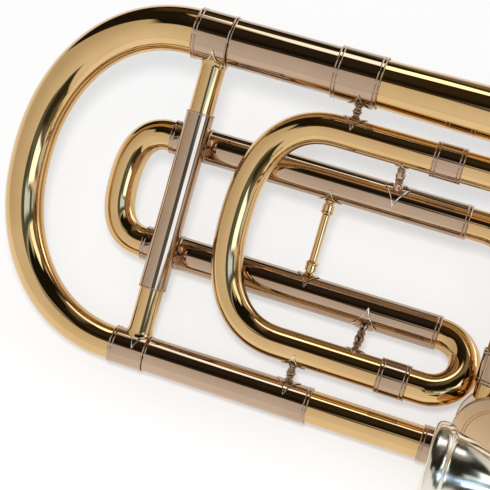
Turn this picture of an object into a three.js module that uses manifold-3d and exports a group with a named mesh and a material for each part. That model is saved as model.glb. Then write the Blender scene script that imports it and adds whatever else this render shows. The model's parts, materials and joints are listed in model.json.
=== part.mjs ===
// Tenor trombone with an F attachment in a closed wrap, laid down with its mouthpiece up.
// Lengths are in millimetres. The instrument frame has X forwards along the tubes, from the seam
// of the main tuning bow, Y from the hand slide's axis to the bell's axis, and Z towards the player.

import * as THREE from 'three';
import { mergeVertices } from 'three/addons/utils/BufferGeometryUtils.js';
import Module from 'manifold-3d';

const wasm = await Module();
wasm.setup();

// Driving dimensions

const fit = 0.3;            // clearance between two pieces that are soldered, screwed or slide
const weld = 0.4;           // depth to which the features of one solid run into each other
const cutOverrun = 1.5;     // length by which a cutter runs past the face that it cuts
const mergeTolerance = 0.0001;
const tubeSides = 12;
const bendSides = 12;
const stemSides = 10;
const wideSides = 18;
const bellSides = 28;
const bendSteps = 6;
const bowSteps = 16;
const fBowSteps = 10;
const loopSteps = 12;
const crossoverSteps = 7;
const returnBendSteps = 4;
const passageSteps = 4;
const passageSides = 8;
const neckSteps = 5;
const crookSteps = 8;
const coilSteps = 8;        // for each turn of a spring
const coilSides = 5;
const restPasses = 6;

const ringWidth = 1.3;      // bead at the end of a ferrule
const ringHeight = 0.45;
const ferruleWall = 0.5;
const flangeThickness = 0.8; // pointed flanges at the ends of the braces
const flangeLength = 12;
const flangeWidth = 9;

const bellAxisY = 155;
const loopLowY = 24.5;
const loopHighY = 128.5;
const fSlideLowY = 49;
const fSlideHighY = 103.5;
const fSlideZ = -20;        // the F tuning slide lies behind the loop

// Main tuning slide
const bowDepth = 64.5;
const bowExponentShare = 2.12;
const bowHighRadius = 11.3;
const bowLowRadius = 8.2;
const bowWall = 0.6;
const bowSeat = 8.5;
const bowFerruleLength = 17.8;
const tuningLegLength = 56;
const tuningLegWall = 0.6;
const tuningBraceX = 11.7;
const tuningBraceRadius = 5.95;
const tuningFlangeWidth = 17;
const braceSleeveLowY = 31.5;
const braceSleeveHighY = 119;

// Receivers, bell and lower leg
const highReceiverRadius = 11.55;
const highReceiverEnd = 77;
const receiverWall = 0.6;
const bellFerruleLap = 7.8;
const bellFerruleLength = 22.3;
const bellFerruleStart = highReceiverEnd - bellFerruleLap;
const bellFerruleEnd = bellFerruleStart + bellFerruleLength;
const lowReceiverRadius = 8.6;
const lowReceiverEnd = 100.5;
const lowLegRadius = 8;
const lowLegWall = 0.6;
const lowLegSeat = 8;
const lowLegFerruleLap = 4.8;
const lowLegFerruleLength = 8.8;
const bellTailGap = 3;
const bellTailStart = highReceiverEnd + bellTailGap;
const bellTailRadius = 11.5;
const bellRimX = 575;
const bellRimRadius = 108;
const bellFlareShare = 0.7;
const bellWall = 0.7;
const bellBeadRadius = 1.6;
const bellStations = 10;
const bellCrowdingShare = 2.6; // how strongly the stations crowd towards the rim

// F attachment
const fTubeRadius = 7.7;
const fTubeWall = 0.55;
const fReceiverRadius = 8.5;
const fReceiverWall = 0.55;
const fBowSeamX = -3;
const fBowDepth = 18.8;
const fBowExponentShare = 2.5;
const fBowFerruleLength = 18;
const fLegLength = 58;
const fReceiverSeat = 8;
const loopBendX = 79;
const loopBendDepth = 37.5;
const loopExponentShare = 2.4;
const loopFerruleLength = 14.4;
const returnBendRadius = 25;
const feedBendRadius = 28;
const fFerruleLength = 16;

// Valve
const valveX = 185.6;
const valveY = 14.6;
const fReceiverSetback = 37.4; // from the valve's axis back to the lower F receiver's end
const fReceiverStagger = 1.2;
const crossoverLead = 0.2;
const loopFerruleSetback = 20.9;
const loopFerruleStagger = 3.6;
const fLowReceiverEnd = valveX - fReceiverSetback;
const fHighReceiverEnd = fLowReceiverEnd - fReceiverStagger;
const crossoverBendX = fLowReceiverEnd + crossoverLead;
const loopLowFerruleStart = fLowReceiverEnd - loopFerruleSetback;
const loopHighFerruleStart = loopLowFerruleStart - loopFerruleStagger;
const casingRadius = 18.8;
const casingWall = 2.6;
const casingTop = 15;
const casingBottom = -17;
const capRadius = 19.4;
const capTop = 20;
const capPlateThickness = 3;
const capGrooveRadius = 13.4;
const capGrooveDepth = 0.8;
const plateThickness = 3;
const passageRadius = 6;
const knuckleRadius = 8;
const knuckleWall = 0.6;
const knuckleSeat = 8;      // depth of the sockets that take the gooseneck and the F feed tube
const portAngle = 120;      // of the F return port; the others follow every quarter turn
const stemRadius = 3;
const returnPortBack = 6.2;
const returnPortX = valveX - returnPortBack;
const returnPortY = 44;
const feedPortAhead = 22.4;
const feedPortX = valveX + feedPortAhead;
const feedPortY = 42;
const outElbowBack = 17.1;
const outElbowX = valveX - outElbowBack;
const outKnuckleLength = 8.9;
const lowLegEnd = outElbowX - outKnuckleLength;
const lowLegFerruleStart = lowLegEnd - lowLegFerruleLap;
const neckElbowAhead = 13.4;
const neckElbowX = valveX + neckElbowAhead;
const neckElbowY = -6;
const neckKnuckleLength = 15;
const neckKnuckleX = neckElbowX + neckKnuckleLength;

// Valve linkage
const stopArmRadius = 12;
const stopArmThickness = 3;
const stopArmWidth = 5;
const stopHubRadius = 5.5;
const stopArmAngle = 135;
const bumperRadius = 2.6;
const bumperHeight = 7;
const leverArm = 47;
const leverPadReach = 34;
const leverThickness = 3;
const leverWidth = 7;
const padLength = 24;
const padWidth = 14;
const pivotRadius = 2;
const linkPinRadius = 1.5;
const linkWidth = 3.4;
const eyeRadius = 3.6;
const bracketRadius = 4;
const springTurns = 5;
const springWire = 0.6;
const springRadius = bracketRadius + springWire + fit;

// Small braces: places along the tubes, and outlines of their stems as shares of the length
// between the flanges and of the greatest radius
const bellToLoopBraceX = 83.5;
const highLoopToFBraceX = 110.3;
const fReceiverBraceX = 80.3;
const lowLoopToFBraceX = 113.3;
const lowLegBraceX = 87.7;
const postRadius = 2.6;
const postShares = [
  [0, 1], [0.2, 1], [0.2, 0.62], [0.4, 0.62], [0.4, 0.88], [0.6, 0.88], [0.6, 0.62],
  [0.8, 0.62], [0.8, 1], [1, 1]];
const collaredRodRadius = 3.1;
const collaredRodShares = [[0, 1], [0.12, 1], [0.14, 0.65], [0.86, 0.65], [0.88, 1], [1, 1]];
const plainTubeShares = [[0, 1], [1, 1]];
const footedTubeShares = [[0, 1], [0.06, 0.8], [0.94, 0.8], [1, 1]];

// Neck and bell brace
const gooseneckSpan = 18;
const neckSeat = 8;
const neckReceiverStart = neckKnuckleX + gooseneckSpan;
const neckReceiverLength = 30;
const neckReceiverEnd = neckReceiverStart + neckReceiverLength;
const neckReceiverRadius = 10.5;
const neckTaperLength = 3;
const neckTaperDepth = 1.2;
const bellBraceSetback = 10;
const bellBraceX = neckReceiverStart + bellBraceSetback;
const bellBraceRadius = 5.5;
const bellBraceFlangeLength = 16;
const bellBraceFlangeWidth = 15;
const nutLap = 10;
const nutLength = 18;
const nutStart = neckReceiverEnd - nutLap;
const nutEnd = nutStart + nutLength;
const nutRadius = 13.5;
const nutChamfer = 1;
const nutFloor = 2.6;
const nutSides = 20;

// Hand slide
const slideTurnDegrees = -6.5;
const slideSpacing = 88;
const slideBoreRadius = 6.95;
const innerTubeWall = 0.3;
const tenonRadius = 8.5;
const tenonDepth = 16.5;
const tenonStart = neckReceiverEnd - tenonDepth;
const tenonReach = 22;
const tenonEnd = neckReceiverEnd + tenonReach;
const innerTubeSeat = 21.4;
const innerTubeStart = tenonEnd - innerTubeSeat;
const barrelLap = 8;
const barrelLength = 36;
const barrelStart = tenonEnd - barrelLap;
const barrelEnd = barrelStart + barrelLength;
const barrelRadius = 11.2;
const barrelWall = 1.2;
const barrelFloor = 5;
const barrelChamfer = 1;
const innerBraceSetback = 10;
const innerBraceX = barrelStart + innerBraceSetback;
const innerBraceRadius = 6;
const innerBraceFlange = 14;
const outerTubeGap = 8;
const outerTubeStart = barrelStart + barrelFloor + outerTubeGap;
const outerTubeLength = 663;
const outerTubeEnd = outerTubeStart + outerTubeLength;
const outerTubeWall = 0.4;
const outerCollarLength = 8;
const outerCollarHeight = 1.2;
const handleGap = 22;
const handleX = barrelEnd + handleGap;
const handleRadius = 7.8;
const handleFlangeLength = 18;
const handleFlangeWidth = 15;
const crookSeat = 8;
const crookLegStart = outerTubeEnd - crookSeat;
const crookLegReach = 51;
const crookBendX = outerTubeEnd + crookLegReach;
const crookFerruleLength = 20;
const crookWall = 0.6;
const innerTubeShort = 4;
const innerTubeEnd = crookLegStart - innerTubeShort;
const stockingRadius = 7.4;
const stockingLength = 120;
const lockRingSetback = 20;
const lockRingStart = barrelStart + lockRingSetback;
const lockRingLength = 8;
const lockRingWall = 1.8;
const lockTabLength = 6;
const lockTabWidth = 9;
const lockTabHeight = 3;
const lockTabSeat = 1;
const bumperBossLength = 5;
const bumperBossRadius = 4.5;
const bumperTipLength = 8;
const bumperTipRadius = 5.5;

// Mouthpiece and its receiver
const mouthpieceLength = 83;
const mouthpieceGap = 18.6;
const rimX = innerTubeStart - mouthpieceGap - mouthpieceLength;
const rimRadius = 19.75;
const cupRadius = 12.75;
const cupDepth = 24;
const shankDepth = 26;
const receiverMouthX = rimX + mouthpieceLength - shankDepth;
const receiverRingLength = 6;
const receiverRingHeight = 1.2;
const shankMouthRadius = 6.3;
const shankEndRadius = 5.85;
const shankWall = 1;
// Outlines as shares of the cup's depth, and of the rim's radius outside or the cup's inside
const mouthpieceOuterShares = [
  [0, 0.75], [0, 0.9], [0.06, 0.98], [0.17, 1], [0.29, 0.97], [0.36, 0.88], [0.42, 0.87],
  [0.75, 0.78], [1, 0.68], [1.3, 0.5], [1.55, 0.39], [1.8, 0.35]];
const mouthpieceInnerShares = [
  [2.08, 0.345], [1.42, 0.28], [1.12, 0.36], [0.83, 0.64], [0.5, 0.87], [0.05, 1]];

// Water key
const keyTurnDegrees = 90;  // from the far side of the crook's lower leg towards the bell
const keyNippleBack = 3;    // from the start of the crook's bend back to the drain hole
const keyNippleX = crookBendX - keyNippleBack;
const keyHingeBack = 17;
const keyHingeX = keyNippleX - keyHingeBack;
const keyHingeDepth = 13.2;
const keyCupRadius = 4.5;
const keyArmWidth = 2.6;
const keyArmThickness = 1.6;
const keyTabReach = 19;
const keyTabLength = 9;
const keyTabWidth = 8;
const keyPinRadius = 0.9;
const keySleeveRadius = 2.4;
const keyEarReach = 4.2;
const keyEarThickness = 1.4;
const keyEarLength = 5;
const keyEarSeat = 1.5;
const keyEarMargin = 2;
const nippleRadius = 3.4;
const nippleBore = 1.8;
const nippleHeight = 4;
const keySpringTurns = 3;
const keySpringWire = 0.35;

// Materials of the finished instrument
const finishes = {
  brass: { color: 0xc9a25c, roughness: 0.18, metalness: 1 },
  nickel: { color: 0xbfb1a2, roughness: 0.2, metalness: 1 },
  silver: { color: 0xd9dadc, roughness: 0.12, metalness: 1 },
  steel: { color: 0x9a9a9c, roughness: 0.35, metalness: 1 },
  rubber: { color: 0x1c1b1b, roughness: 0.85, metalness: 0 },
};

// Geometry helpers

const xAxis = new THREE.Vector3(1, 0, 0);
const yAxis = new THREE.Vector3(0, 1, 0);
const zAxis = new THREE.Vector3(0, 0, 1);
const point = (x, y, z = 0) => new THREE.Vector3(x, y, z);
const radians = THREE.MathUtils.degToRad;

// Enclosed volume, negative when the faces point inwards.
function signedVolume(positions, index) {
  const corners = [0, 1, 2].map(() => new THREE.Vector3());
  let volume = 0;
  for (let i = 0; i < index.length; i += 3) {
    corners.forEach((corner, k) => corner.fromBufferAttribute(positions, index[i + k]));
    volume += corners[0].dot(corners[1].clone().cross(corners[2])) / 6;
  }
  return volume;
}

// One closed body: shared corners are merged, slivers dropped and the faces turned outwards.
function closedBody(source) {
  const bare = source.clone();
  bare.deleteAttribute('normal');
  bare.deleteAttribute('uv');
  const merged = mergeVertices(bare, mergeTolerance);
  const old = Array.from(merged.index.array);
  const index = [];
  for (let i = 0; i < old.length; i += 3) {
    const [a, b, c] = old.slice(i, i + 3);
    if (a !== b && b !== c && c !== a) {
      index.push(a, b, c);
    }
  }
  if (signedVolume(merged.attributes.position, index) < 0) {
    index.reverse();
  }
  merged.setIndex(index);
  merged.computeVertexNormals();
  return merged;
}

// A turned piece about X from [along, radius] pairs, closed on itself if it is off the axis.
function turned(profile, sides = tubeSides) {
  const points = profile.map(([along, radius]) => new THREE.Vector2(radius, along));
  if (profile[0][1] > 0) {
    points.push(points[0].clone());
  }
  const geometry = new THREE.LatheGeometry(points, sides);
  geometry.rotateZ(-Math.PI / 2);
  return closedBody(geometry);
}

// The same piece stood along a line: its axis runs from `from` in the direction `along`.
function stood(geometry, from, along) {
  const turn = new THREE.Quaternion().setFromUnitVectors(xAxis, along.clone().normalize());
  const placed = geometry.clone();
  placed.applyQuaternion(turn);
  placed.translate(from.x, from.y, from.z);
  return placed;
}

function rod(from, to, radius, sides = tubeSides) {
  const line = to.clone().sub(from);
  const length = line.length();
  return stood(turned([[0, 0], [0, radius], [length, radius], [length, 0]], sides), from, line);
}

function ball(centre, radius) {
  const geometry = new THREE.SphereGeometry(radius, bendSides, bendSides / 2);
  geometry.translate(centre.x, centre.y, centre.z);
  return closedBody(geometry);
}

function block(centre, x, y, z) {
  const geometry = new THREE.BoxGeometry(x, y, z);
  geometry.translate(centre.x, centre.y, centre.z);
  return closedBody(geometry);
}

function toSolid(geometry) {
  const bare = closedBody(geometry);
  return new wasm.Manifold(new wasm.Mesh({
    numProp: 3,
    vertProperties: new Float32Array(bare.attributes.position.array),
    triVerts: new Uint32Array(bare.index.array),
  }));
}

function fromSolid(solid) {
  const mesh = solid.getMesh();
  const geometry = new THREE.BufferGeometry();
  geometry.setAttribute('position', new THREE.BufferAttribute(new Float32Array(mesh.vertProperties), 3));
  geometry.setIndex(Array.from(mesh.triVerts));
  return closedBody(geometry);
}

const joined = (...geometries) => fromSolid(
  geometries.map(toSolid).reduce((sum, next) => sum.add(next)));

const cut = (geometry, ...cutters) => fromSolid(
  cutters.map(toSolid).reduce((rest, next) => rest.subtract(next), toSolid(geometry)));

const common = (a, b) => fromSolid(toSolid(a).intersect(toSolid(b)));

// A round tube along a list of centres. The wall opens at both ends; without a wall it is solid.
function swept(centres, radiusAt, wall, sides = bendSides, firstNormal = zAxis) {
  const last = centres.length - 1;
  const positions = [];
  const index = [];
  const normal = firstNormal.clone();
  const layers = wall > 0 ? [0, wall] : [0];
  centres.forEach((centre, i) => {
    const before = centres[Math.max(i - 1, 0)];
    const after = centres[Math.min(i + 1, last)];
    const along = after.clone().sub(before).normalize();
    normal.addScaledVector(along, -normal.dot(along)).normalize();
    const side = along.clone().cross(normal);
    for (const inset of layers) {
      const radius = radiusAt(i / last) - inset;
      for (let k = 0; k < sides; k += 1) {
        const angle = 2 * Math.PI * k / sides;
        const corner = centre.clone()
          .addScaledVector(normal, radius * Math.cos(angle))
          .addScaledVector(side, radius * Math.sin(angle));
        positions.push(corner.x, corner.y, corner.z);
      }
    }
  });
  const stride = sides * layers.length;
  const quad = (a, b, c, d) => index.push(a, b, c, a, c, d);
  for (let k = 0; k < sides; k += 1) {
    const next = (k + 1) % sides;
    for (let i = 0; i < last; i += 1) {
      const low = i * stride;
      const high = low + stride;
      quad(low + k, low + next, high + next, high + k);
      if (wall > 0) {
        quad(low + sides + next, low + sides + k, high + sides + k, high + sides + next);
      }
    }
    if (wall > 0) {
      const end = last * stride;
      quad(k, sides + k, sides + next, next);
      quad(end + next, end + sides + next, end + sides + k, end + k);
    }
  }
  if (wall === 0) {
    const end = last * stride;
    for (let k = 1; k < sides - 1; k += 1) {
      index.push(0, k + 1, k);
      index.push(end, end + k, end + k + 1);
    }
  }
  const geometry = new THREE.BufferGeometry();
  geometry.setAttribute('position', new THREE.Float32BufferAttribute(positions, 3));
  geometry.setIndex(index);
  return closedBody(geometry);
}

// Centres along straight legs, with a round bend of `radius` at each inner corner.
function bentPath(corners, radius, steps = bendSteps) {
  const path = [corners[0].clone()];
  for (let i = 1; i < corners.length - 1; i += 1) {
    const back = corners[i - 1].clone().sub(corners[i]).normalize();
    const ahead = corners[i + 1].clone().sub(corners[i]).normalize();
    const half = back.angleTo(ahead) / 2;
    const tangent = radius / Math.tan(half);
    const middle = back.clone().add(ahead).normalize().multiplyScalar(radius / Math.sin(half));
    const centre = corners[i].clone().add(middle);
    const start = corners[i].clone().addScaledVector(back, tangent).sub(centre);
    const sweep = Math.PI - 2 * half;
    const axis = back.clone().cross(start).normalize();
    for (let k = 0; k <= steps; k += 1) {
      path.push(start.clone().applyAxisAngle(axis, sweep * k / steps).add(centre));
    }
  }
  path.push(corners[corners.length - 1].clone());
  return path;
}

// Centres of a bow that bulges towards -X between two heights, as a half superellipse,
// with a straight lead of `lead` at both ends.
function bowPath(seamX, depth, exponent, lowY, highY, z, lead, steps) {
  const middle = (lowY + highY) / 2;
  const half = (highY - lowY) / 2;
  const path = [point(seamX + lead, highY, z)];
  for (let i = 0; i <= steps; i += 1) {
    const angle = Math.PI * i / steps;
    const across = Math.sign(Math.cos(angle)) * Math.abs(Math.cos(angle)) ** (2 / exponent);
    const along = (1 - Math.cos(angle) ** 2) ** (1 / exponent);
    path.push(point(seamX - depth * along, middle + half * across, z));
  }
  path.push(point(seamX + lead, lowY, z));
  return path;
}

// Least gap between the turns of a coil, measured on its points at least half a turn apart
function leastGap(centres, wire) {
  let least = Infinity;
  for (let i = 0; i < centres.length; i += 1) {
    for (let j = i + coilSteps / 2; j < centres.length; j += 1) {
      least = Math.min(least, centres[i].distanceTo(centres[j]) - 2 * wire);
    }
  }
  return least;
}

// A coil about X with open ends, as one wire.
function coil(name, turns, radius, wire, length) {
  const steps = turns * coilSteps;
  const centres = [];
  for (let i = 0; i <= steps; i += 1) {
    const angle = 2 * Math.PI * turns * i / steps;
    centres.push(point(length * i / steps, radius * Math.cos(angle), radius * Math.sin(angle)));
  }
  console.log(`${name}: least gap between its turns ${leastGap(centres, wire).toFixed(2)} mm`);
  return swept(centres, () => wire, 0, coilSides, yAxis);
}

// Profile of a straight tube
const tubeProfile = (start, end, radius, wall) => [
  [start, radius], [end, radius], [end, radius - wall], [start, radius - wall]];

// Profile of a ferrule over tubes of `inside` radius, with a bead at each end
function ferruleProfile(start, end, inside) {
  const bore = inside + fit;
  const radius = bore + ferruleWall;
  const bead = radius + ringHeight;
  return [
    [start, bead], [start + ringWidth, bead], [start + ringWidth, radius],
    [end - ringWidth, radius], [end - ringWidth, bead], [end, bead],
    [end, bore], [start, bore]];
}

// Profile of a tuning slide's leg with the ferrule that takes the end of its bow
function slideLegProfile(seamX, ferruleLength, bowRadius, seat, legRadius, wall, legLength) {
  const bore = bowRadius + fit;
  const radius = bore + ferruleWall;
  const bead = radius + ringHeight;
  const shoulder = seamX + ferruleLength;
  const floor = seamX + seat + fit;
  return [
    [seamX, bead], [seamX + ringWidth, bead], [seamX + ringWidth, radius],
    [shoulder, radius], [shoulder, legRadius], [shoulder + legLength, legRadius],
    [shoulder + legLength, legRadius - wall], [floor, legRadius - wall],
    [floor, bore], [seamX, bore]];
}

// Profile of a receiver with a socket of `socketRadius` for the tube that follows it
function receiverProfile(start, end, radius, wall, seat, socketRadius) {
  const bore = socketRadius + fit;
  const bead = radius + ringHeight;
  return [
    [start, bead], [start + ringWidth, bead], [start + ringWidth, radius],
    [end - seat, radius], [end - seat, bore + ferruleWall], [end - ringWidth, bore + ferruleWall],
    [end - ringWidth, bore + ferruleWall + ringHeight], [end, bore + ferruleWall + ringHeight],
    [end, bore], [end - seat + ringWidth, bore], [end - seat + ringWidth, radius - wall],
    [start, radius - wall]];
}

// A pointed flange that lies on a tube of `radius` about X, on the +Y side of the origin
function saddle(radius, length, width) {
  const half = { x: length / 2, z: width / 2 };
  const outline = new THREE.Shape([
    new THREE.Vector2(-half.x, 0), new THREE.Vector2(0, -half.z),
    new THREE.Vector2(half.x, 0), new THREE.Vector2(0, half.z)]);
  const reach = radius + 2 * ferruleWall + 2 * fit;
  const prism = new THREE.ExtrudeGeometry(outline, { depth: reach, bevelEnabled: false });
  prism.rotateX(-Math.PI / 2);
  const sheet = turned(
    tubeProfile(-length, length, radius + fit + flangeThickness, flangeThickness), wideSides);
  return common(prism, sheet);
}

// A brace between two parallel tubes: a turned stem with a pointed flange on each tube.
// `shares` is the stem's outline, and `radius` its greatest radius.
function brace(low, high, shares, radius, length = flangeLength, width = flangeWidth) {
  const line = high.centre.clone().sub(low.centre);
  const span = line.length();
  const start = low.radius + fit;
  const end = span - high.radius - fit;
  const profile = shares.map(([along, across]) => [start + (end - start) * along, radius * across]);
  const body = turned([[start, 0], ...profile, [end, 0]], stemSides);
  body.rotateZ(Math.PI / 2);
  const foot = saddle(low.radius, length, width);
  const head = saddle(high.radius, length, width);
  head.rotateX(Math.PI);
  head.translate(0, span, 0);
  const whole = joined(body, foot, head);
  whole.applyQuaternion(new THREE.Quaternion().setFromUnitVectors(yAxis, line.normalize()));
  whole.translate(low.centre.x, low.centre.y, low.centre.z);
  return whole;
}

// A flat bar with a round eye at each end, in the XY plane from z = 0 to `thickness`.
// Each end is a place, the radius of its eye and the radius of its hole, or 0 for none.
function eyeBar(from, to, width, thickness) {
  const line = to.centre.clone().sub(from.centre);
  const bar = block(point(line.length() / 2, 0, thickness / 2), line.length(), width, thickness);
  bar.rotateZ(Math.atan2(line.y, line.x));
  bar.translate(from.centre.x, from.centre.y, 0);
  const upright = (centre, radius, overrun) => rod(
    point(centre.x, centre.y, -overrun), point(centre.x, centre.y, thickness + overrun), radius);
  const body = joined(bar, ...[from, to].map((end) => upright(end.centre, end.eye, 0)));
  const cutters = [from, to].filter((end) => end.hole > 0)
    .map((end) => upright(end.centre, end.hole, cutOverrun));
  return cutters.length > 0 ? cut(body, ...cutters) : body;
}

// Assembly

const instrument = new THREE.Group();
const slide = new THREE.Group();
slide.rotation.x = radians(slideTurnDegrees);
instrument.add(slide);

function add(name, finish, geometry, parent = instrument) {
  const mesh = new THREE.Mesh(geometry, new THREE.MeshStandardMaterial(finishes[finish]));
  mesh.name = name;
  parent.add(mesh);
  return mesh;
}

// The same geometry moved off the X axis
function shifted(geometry, y, z = 0) {
  const moved = geometry.clone();
  moved.translate(0, y, z);
  return moved;
}

// Radius of the bell's outer wall at a place along it
function bellRadiusAt(x) {
  const grow = (bellRimRadius / bellTailRadius) ** (1 / bellFlareShare);
  const lead = (bellRimX - bellFerruleEnd) / (grow - 1);
  const away = lead + bellRimX - Math.max(x, bellFerruleEnd);
  return bellRimRadius * (lead / away) ** bellFlareShare;
}

// Places along the bell at which its faceted wall has corners, from its tail to its rim
function bellPlaces() {
  const places = [bellTailStart];
  for (let i = 0; i <= bellStations; i += 1) {
    const share = 1 - (1 - i / bellStations) ** bellCrowdingShare;
    places.push(THREE.MathUtils.lerp(bellFerruleEnd, bellRimX, share));
  }
  return places;
}

// Radius of the bell's faceted wall, which runs straight from place to place
function bellWallRadiusAt(x) {
  const places = bellPlaces();
  const next = places.findIndex((place) => place > x);
  const [low, high] = [places[next - 1], places[next]];
  return THREE.MathUtils.mapLinear(x, low, high, bellRadiusAt(low), bellRadiusAt(high));
}

function addTuningSlide() {
  const span = (share) => THREE.MathUtils.lerp(bowHighRadius, bowLowRadius, share);
  add('tuning_bow', 'brass', swept(
    bowPath(0, bowDepth, bowExponentShare, 0, bellAxisY, 0, bowSeat, bowSteps), span, bowWall));
  const highLeg = highReceiverRadius - receiverWall - fit;
  const lowLeg = lowReceiverRadius - receiverWall - fit;
  add('tuning_leg_upper', 'nickel', shifted(turned(slideLegProfile(
    0, bowFerruleLength, bowHighRadius, bowSeat, highLeg, tuningLegWall, tuningLegLength),
    wideSides), bellAxisY));
  add('tuning_leg_lower', 'nickel', turned(slideLegProfile(
    0, bowFerruleLength, bowLowRadius, bowSeat, lowLeg, tuningLegWall, tuningLegLength)));
  const ferruleHigh = bowHighRadius + fit + ferruleWall;
  const ferruleLow = bowLowRadius + fit + ferruleWall;
  const radius = tuningBraceRadius;
  add('tuning_brace', 'brass', brace(
    { centre: point(tuningBraceX, 0), radius: ferruleLow },
    { centre: point(tuningBraceX, bellAxisY), radius: ferruleHigh },
    plainTubeShares, radius, 2 * (bowFerruleLength - tuningBraceX) - fit, tuningFlangeWidth));
  const sleeve = turned(ferruleProfile(braceSleeveLowY, braceSleeveHighY, radius));
  sleeve.rotateZ(Math.PI / 2);
  sleeve.translate(tuningBraceX, 0, 0);
  add('tuning_brace_sleeve', 'nickel', sleeve);
}

function addBellSection() {
  const start = bowFerruleLength + fit;
  add('upper_receiver', 'nickel', shifted(turned([
    [start, highReceiverRadius + ringHeight], [start + ringWidth, highReceiverRadius + ringHeight],
    [start + ringWidth, highReceiverRadius], [highReceiverEnd, highReceiverRadius],
    [highReceiverEnd, highReceiverRadius - receiverWall],
    [start, highReceiverRadius - receiverWall]], wideSides), bellAxisY));
  add('bell_ferrule', 'nickel', shifted(turned(
    ferruleProfile(bellFerruleStart, bellFerruleEnd, highReceiverRadius), wideSides), bellAxisY));
  add('lower_receiver', 'nickel', turned(receiverProfile(
    start, lowReceiverEnd, lowReceiverRadius, receiverWall, lowLegSeat, lowLegRadius)));
  add('lower_leg', 'brass', turned(tubeProfile(
    lowReceiverEnd - lowLegSeat + ringWidth + fit, lowLegEnd, lowLegRadius, lowLegWall)));
  add('lower_leg_ferrule', 'nickel', turned(ferruleProfile(
    lowLegFerruleStart, lowLegFerruleStart + lowLegFerruleLength, lowLegRadius)));

  const outer = bellPlaces().map((x) => [x, bellRadiusAt(x)]);
  const inner = outer.map(([x, radius]) => [x, radius - bellWall]).reverse();
  const bead = bellBeadRadius;
  const rim = [
    [bellRimX + bead, bellRimRadius + bead], [bellRimX + 2 * bead, bellRimRadius],
    [bellRimX + bead, bellRimRadius - bead]];
  add('bell', 'brass', shifted(turned([...outer, ...rim, ...inner], bellSides), bellAxisY));
}

function addFSlide() {
  const bow = bowPath(
    fBowSeamX, fBowDepth, fBowExponentShare, fSlideLowY, fSlideHighY, fSlideZ, bowSeat, fBowSteps);
  add('f_slide_bow', 'brass', swept(bow, () => fTubeRadius, fTubeWall));
  const leg = fReceiverRadius - fReceiverWall - fit;
  const legs = turned(slideLegProfile(
    fBowSeamX, fBowFerruleLength, fTubeRadius, bowSeat, leg, fTubeWall, fLegLength));
  add('f_slide_leg_upper', 'nickel', shifted(legs, fSlideHighY, fSlideZ));
  add('f_slide_leg_lower', 'nickel', shifted(legs, fSlideLowY, fSlideZ));
  const start = fBowSeamX + fBowFerruleLength + fit;
  add('f_receiver_upper', 'nickel', shifted(turned(receiverProfile(
    start, fHighReceiverEnd, fReceiverRadius, fReceiverWall, fReceiverSeat, fTubeRadius)),
    fSlideHighY, fSlideZ));
  add('f_receiver_lower', 'nickel', shifted(turned(receiverProfile(
    start, fLowReceiverEnd, fReceiverRadius, fReceiverWall, fReceiverSeat, fTubeRadius)),
    fSlideLowY, fSlideZ));
}

function addLoop() {
  const radius = () => fTubeRadius;
  const highEnd = loopHighFerruleStart + loopFerruleLength / 2;
  const lowEnd = loopLowFerruleStart + loopFerruleLength / 2;
  const bend = bowPath(
    loopBendX, loopBendDepth, loopExponentShare, loopLowY, loopHighY, 0, 0, loopSteps);
  bend[0].x = highEnd - fit;
  bend[bend.length - 1].x = lowEnd - fit;
  add('f_loop', 'brass', swept(bend, radius, fTubeWall));
  add('loop_ferrule_upper', 'nickel', shifted(turned(ferruleProfile(
    loopHighFerruleStart, loopHighFerruleStart + loopFerruleLength, fTubeRadius)), loopHighY));
  add('loop_ferrule_lower', 'nickel', shifted(turned(ferruleProfile(
    loopLowFerruleStart, loopLowFerruleStart + loopFerruleLength, fTubeRadius)), loopLowY));

  const low = point(crossoverBendX, loopLowY, 0);
  const high = point(crossoverBendX, fSlideLowY, fSlideZ);
  const middle = low.clone().add(high).multiplyScalar(0.5);
  const arm = low.clone().sub(middle);
  const crossover = [point(lowEnd + fit, loopLowY, 0)];
  for (let i = 0; i <= crossoverSteps; i += 1) {
    const angle = Math.PI * i / crossoverSteps;
    crossover.push(middle.clone().addScaledVector(arm, Math.cos(angle))
      .addScaledVector(xAxis, arm.length() * Math.sin(angle)));
  }
  const seat = fLowReceiverEnd - fReceiverSeat + ringWidth + fit;
  crossover.push(point(seat, fSlideLowY, fSlideZ));
  add('f_crossover_bend', 'brass', swept(crossover, radius, fTubeWall));

  const feed = bentPath([
    point(feedPortX, feedPortY - knuckleSeat + fit), point(feedPortX, loopHighY),
    point(highEnd + fit, loopHighY)], feedBendRadius);
  add('f_feed_tube', 'brass', swept(feed, radius, fTubeWall));
  const returnFerrule = turned(ferruleProfile(0, fFerruleLength, knuckleRadius));
  returnFerrule.rotateZ(Math.PI / 2);
  returnFerrule.translate(returnPortX, returnPortY - fFerruleLength / 2 - fit, 0);
  add('f_return_ferrule', 'nickel', returnFerrule);

  const receiverSeat = fHighReceiverEnd - fReceiverSeat + ringWidth + fit;
  const returnPath = bentPath([
    point(returnPortX, returnPortY + fit), point(returnPortX, fSlideHighY - 2 * returnBendRadius),
    point(returnPortX, fSlideHighY, fSlideZ), point(receiverSeat, fSlideHighY, fSlideZ)],
    returnBendRadius, returnBendSteps);
  add('f_return_tube', 'brass', swept(returnPath, radius, fTubeWall));
}

// Unit direction of a port, counted in quarter turns from the F return port
function portDirection(quarters) {
  const angle = radians(portAngle + 90 * quarters);
  return point(Math.cos(angle), Math.sin(angle));
}

// Straight runs of a knuckle tube, with a ball at each corner, for the wall and for its bore
function knuckle(corners, radius) {
  const pieces = [];
  for (let i = 0; i < corners.length - 1; i += 1) {
    pieces.push(rod(corners[i], corners[i + 1], radius, bendSides));
    if (i > 0) {
      pieces.push(ball(corners[i], radius));
    }
  }
  return pieces;
}

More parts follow.
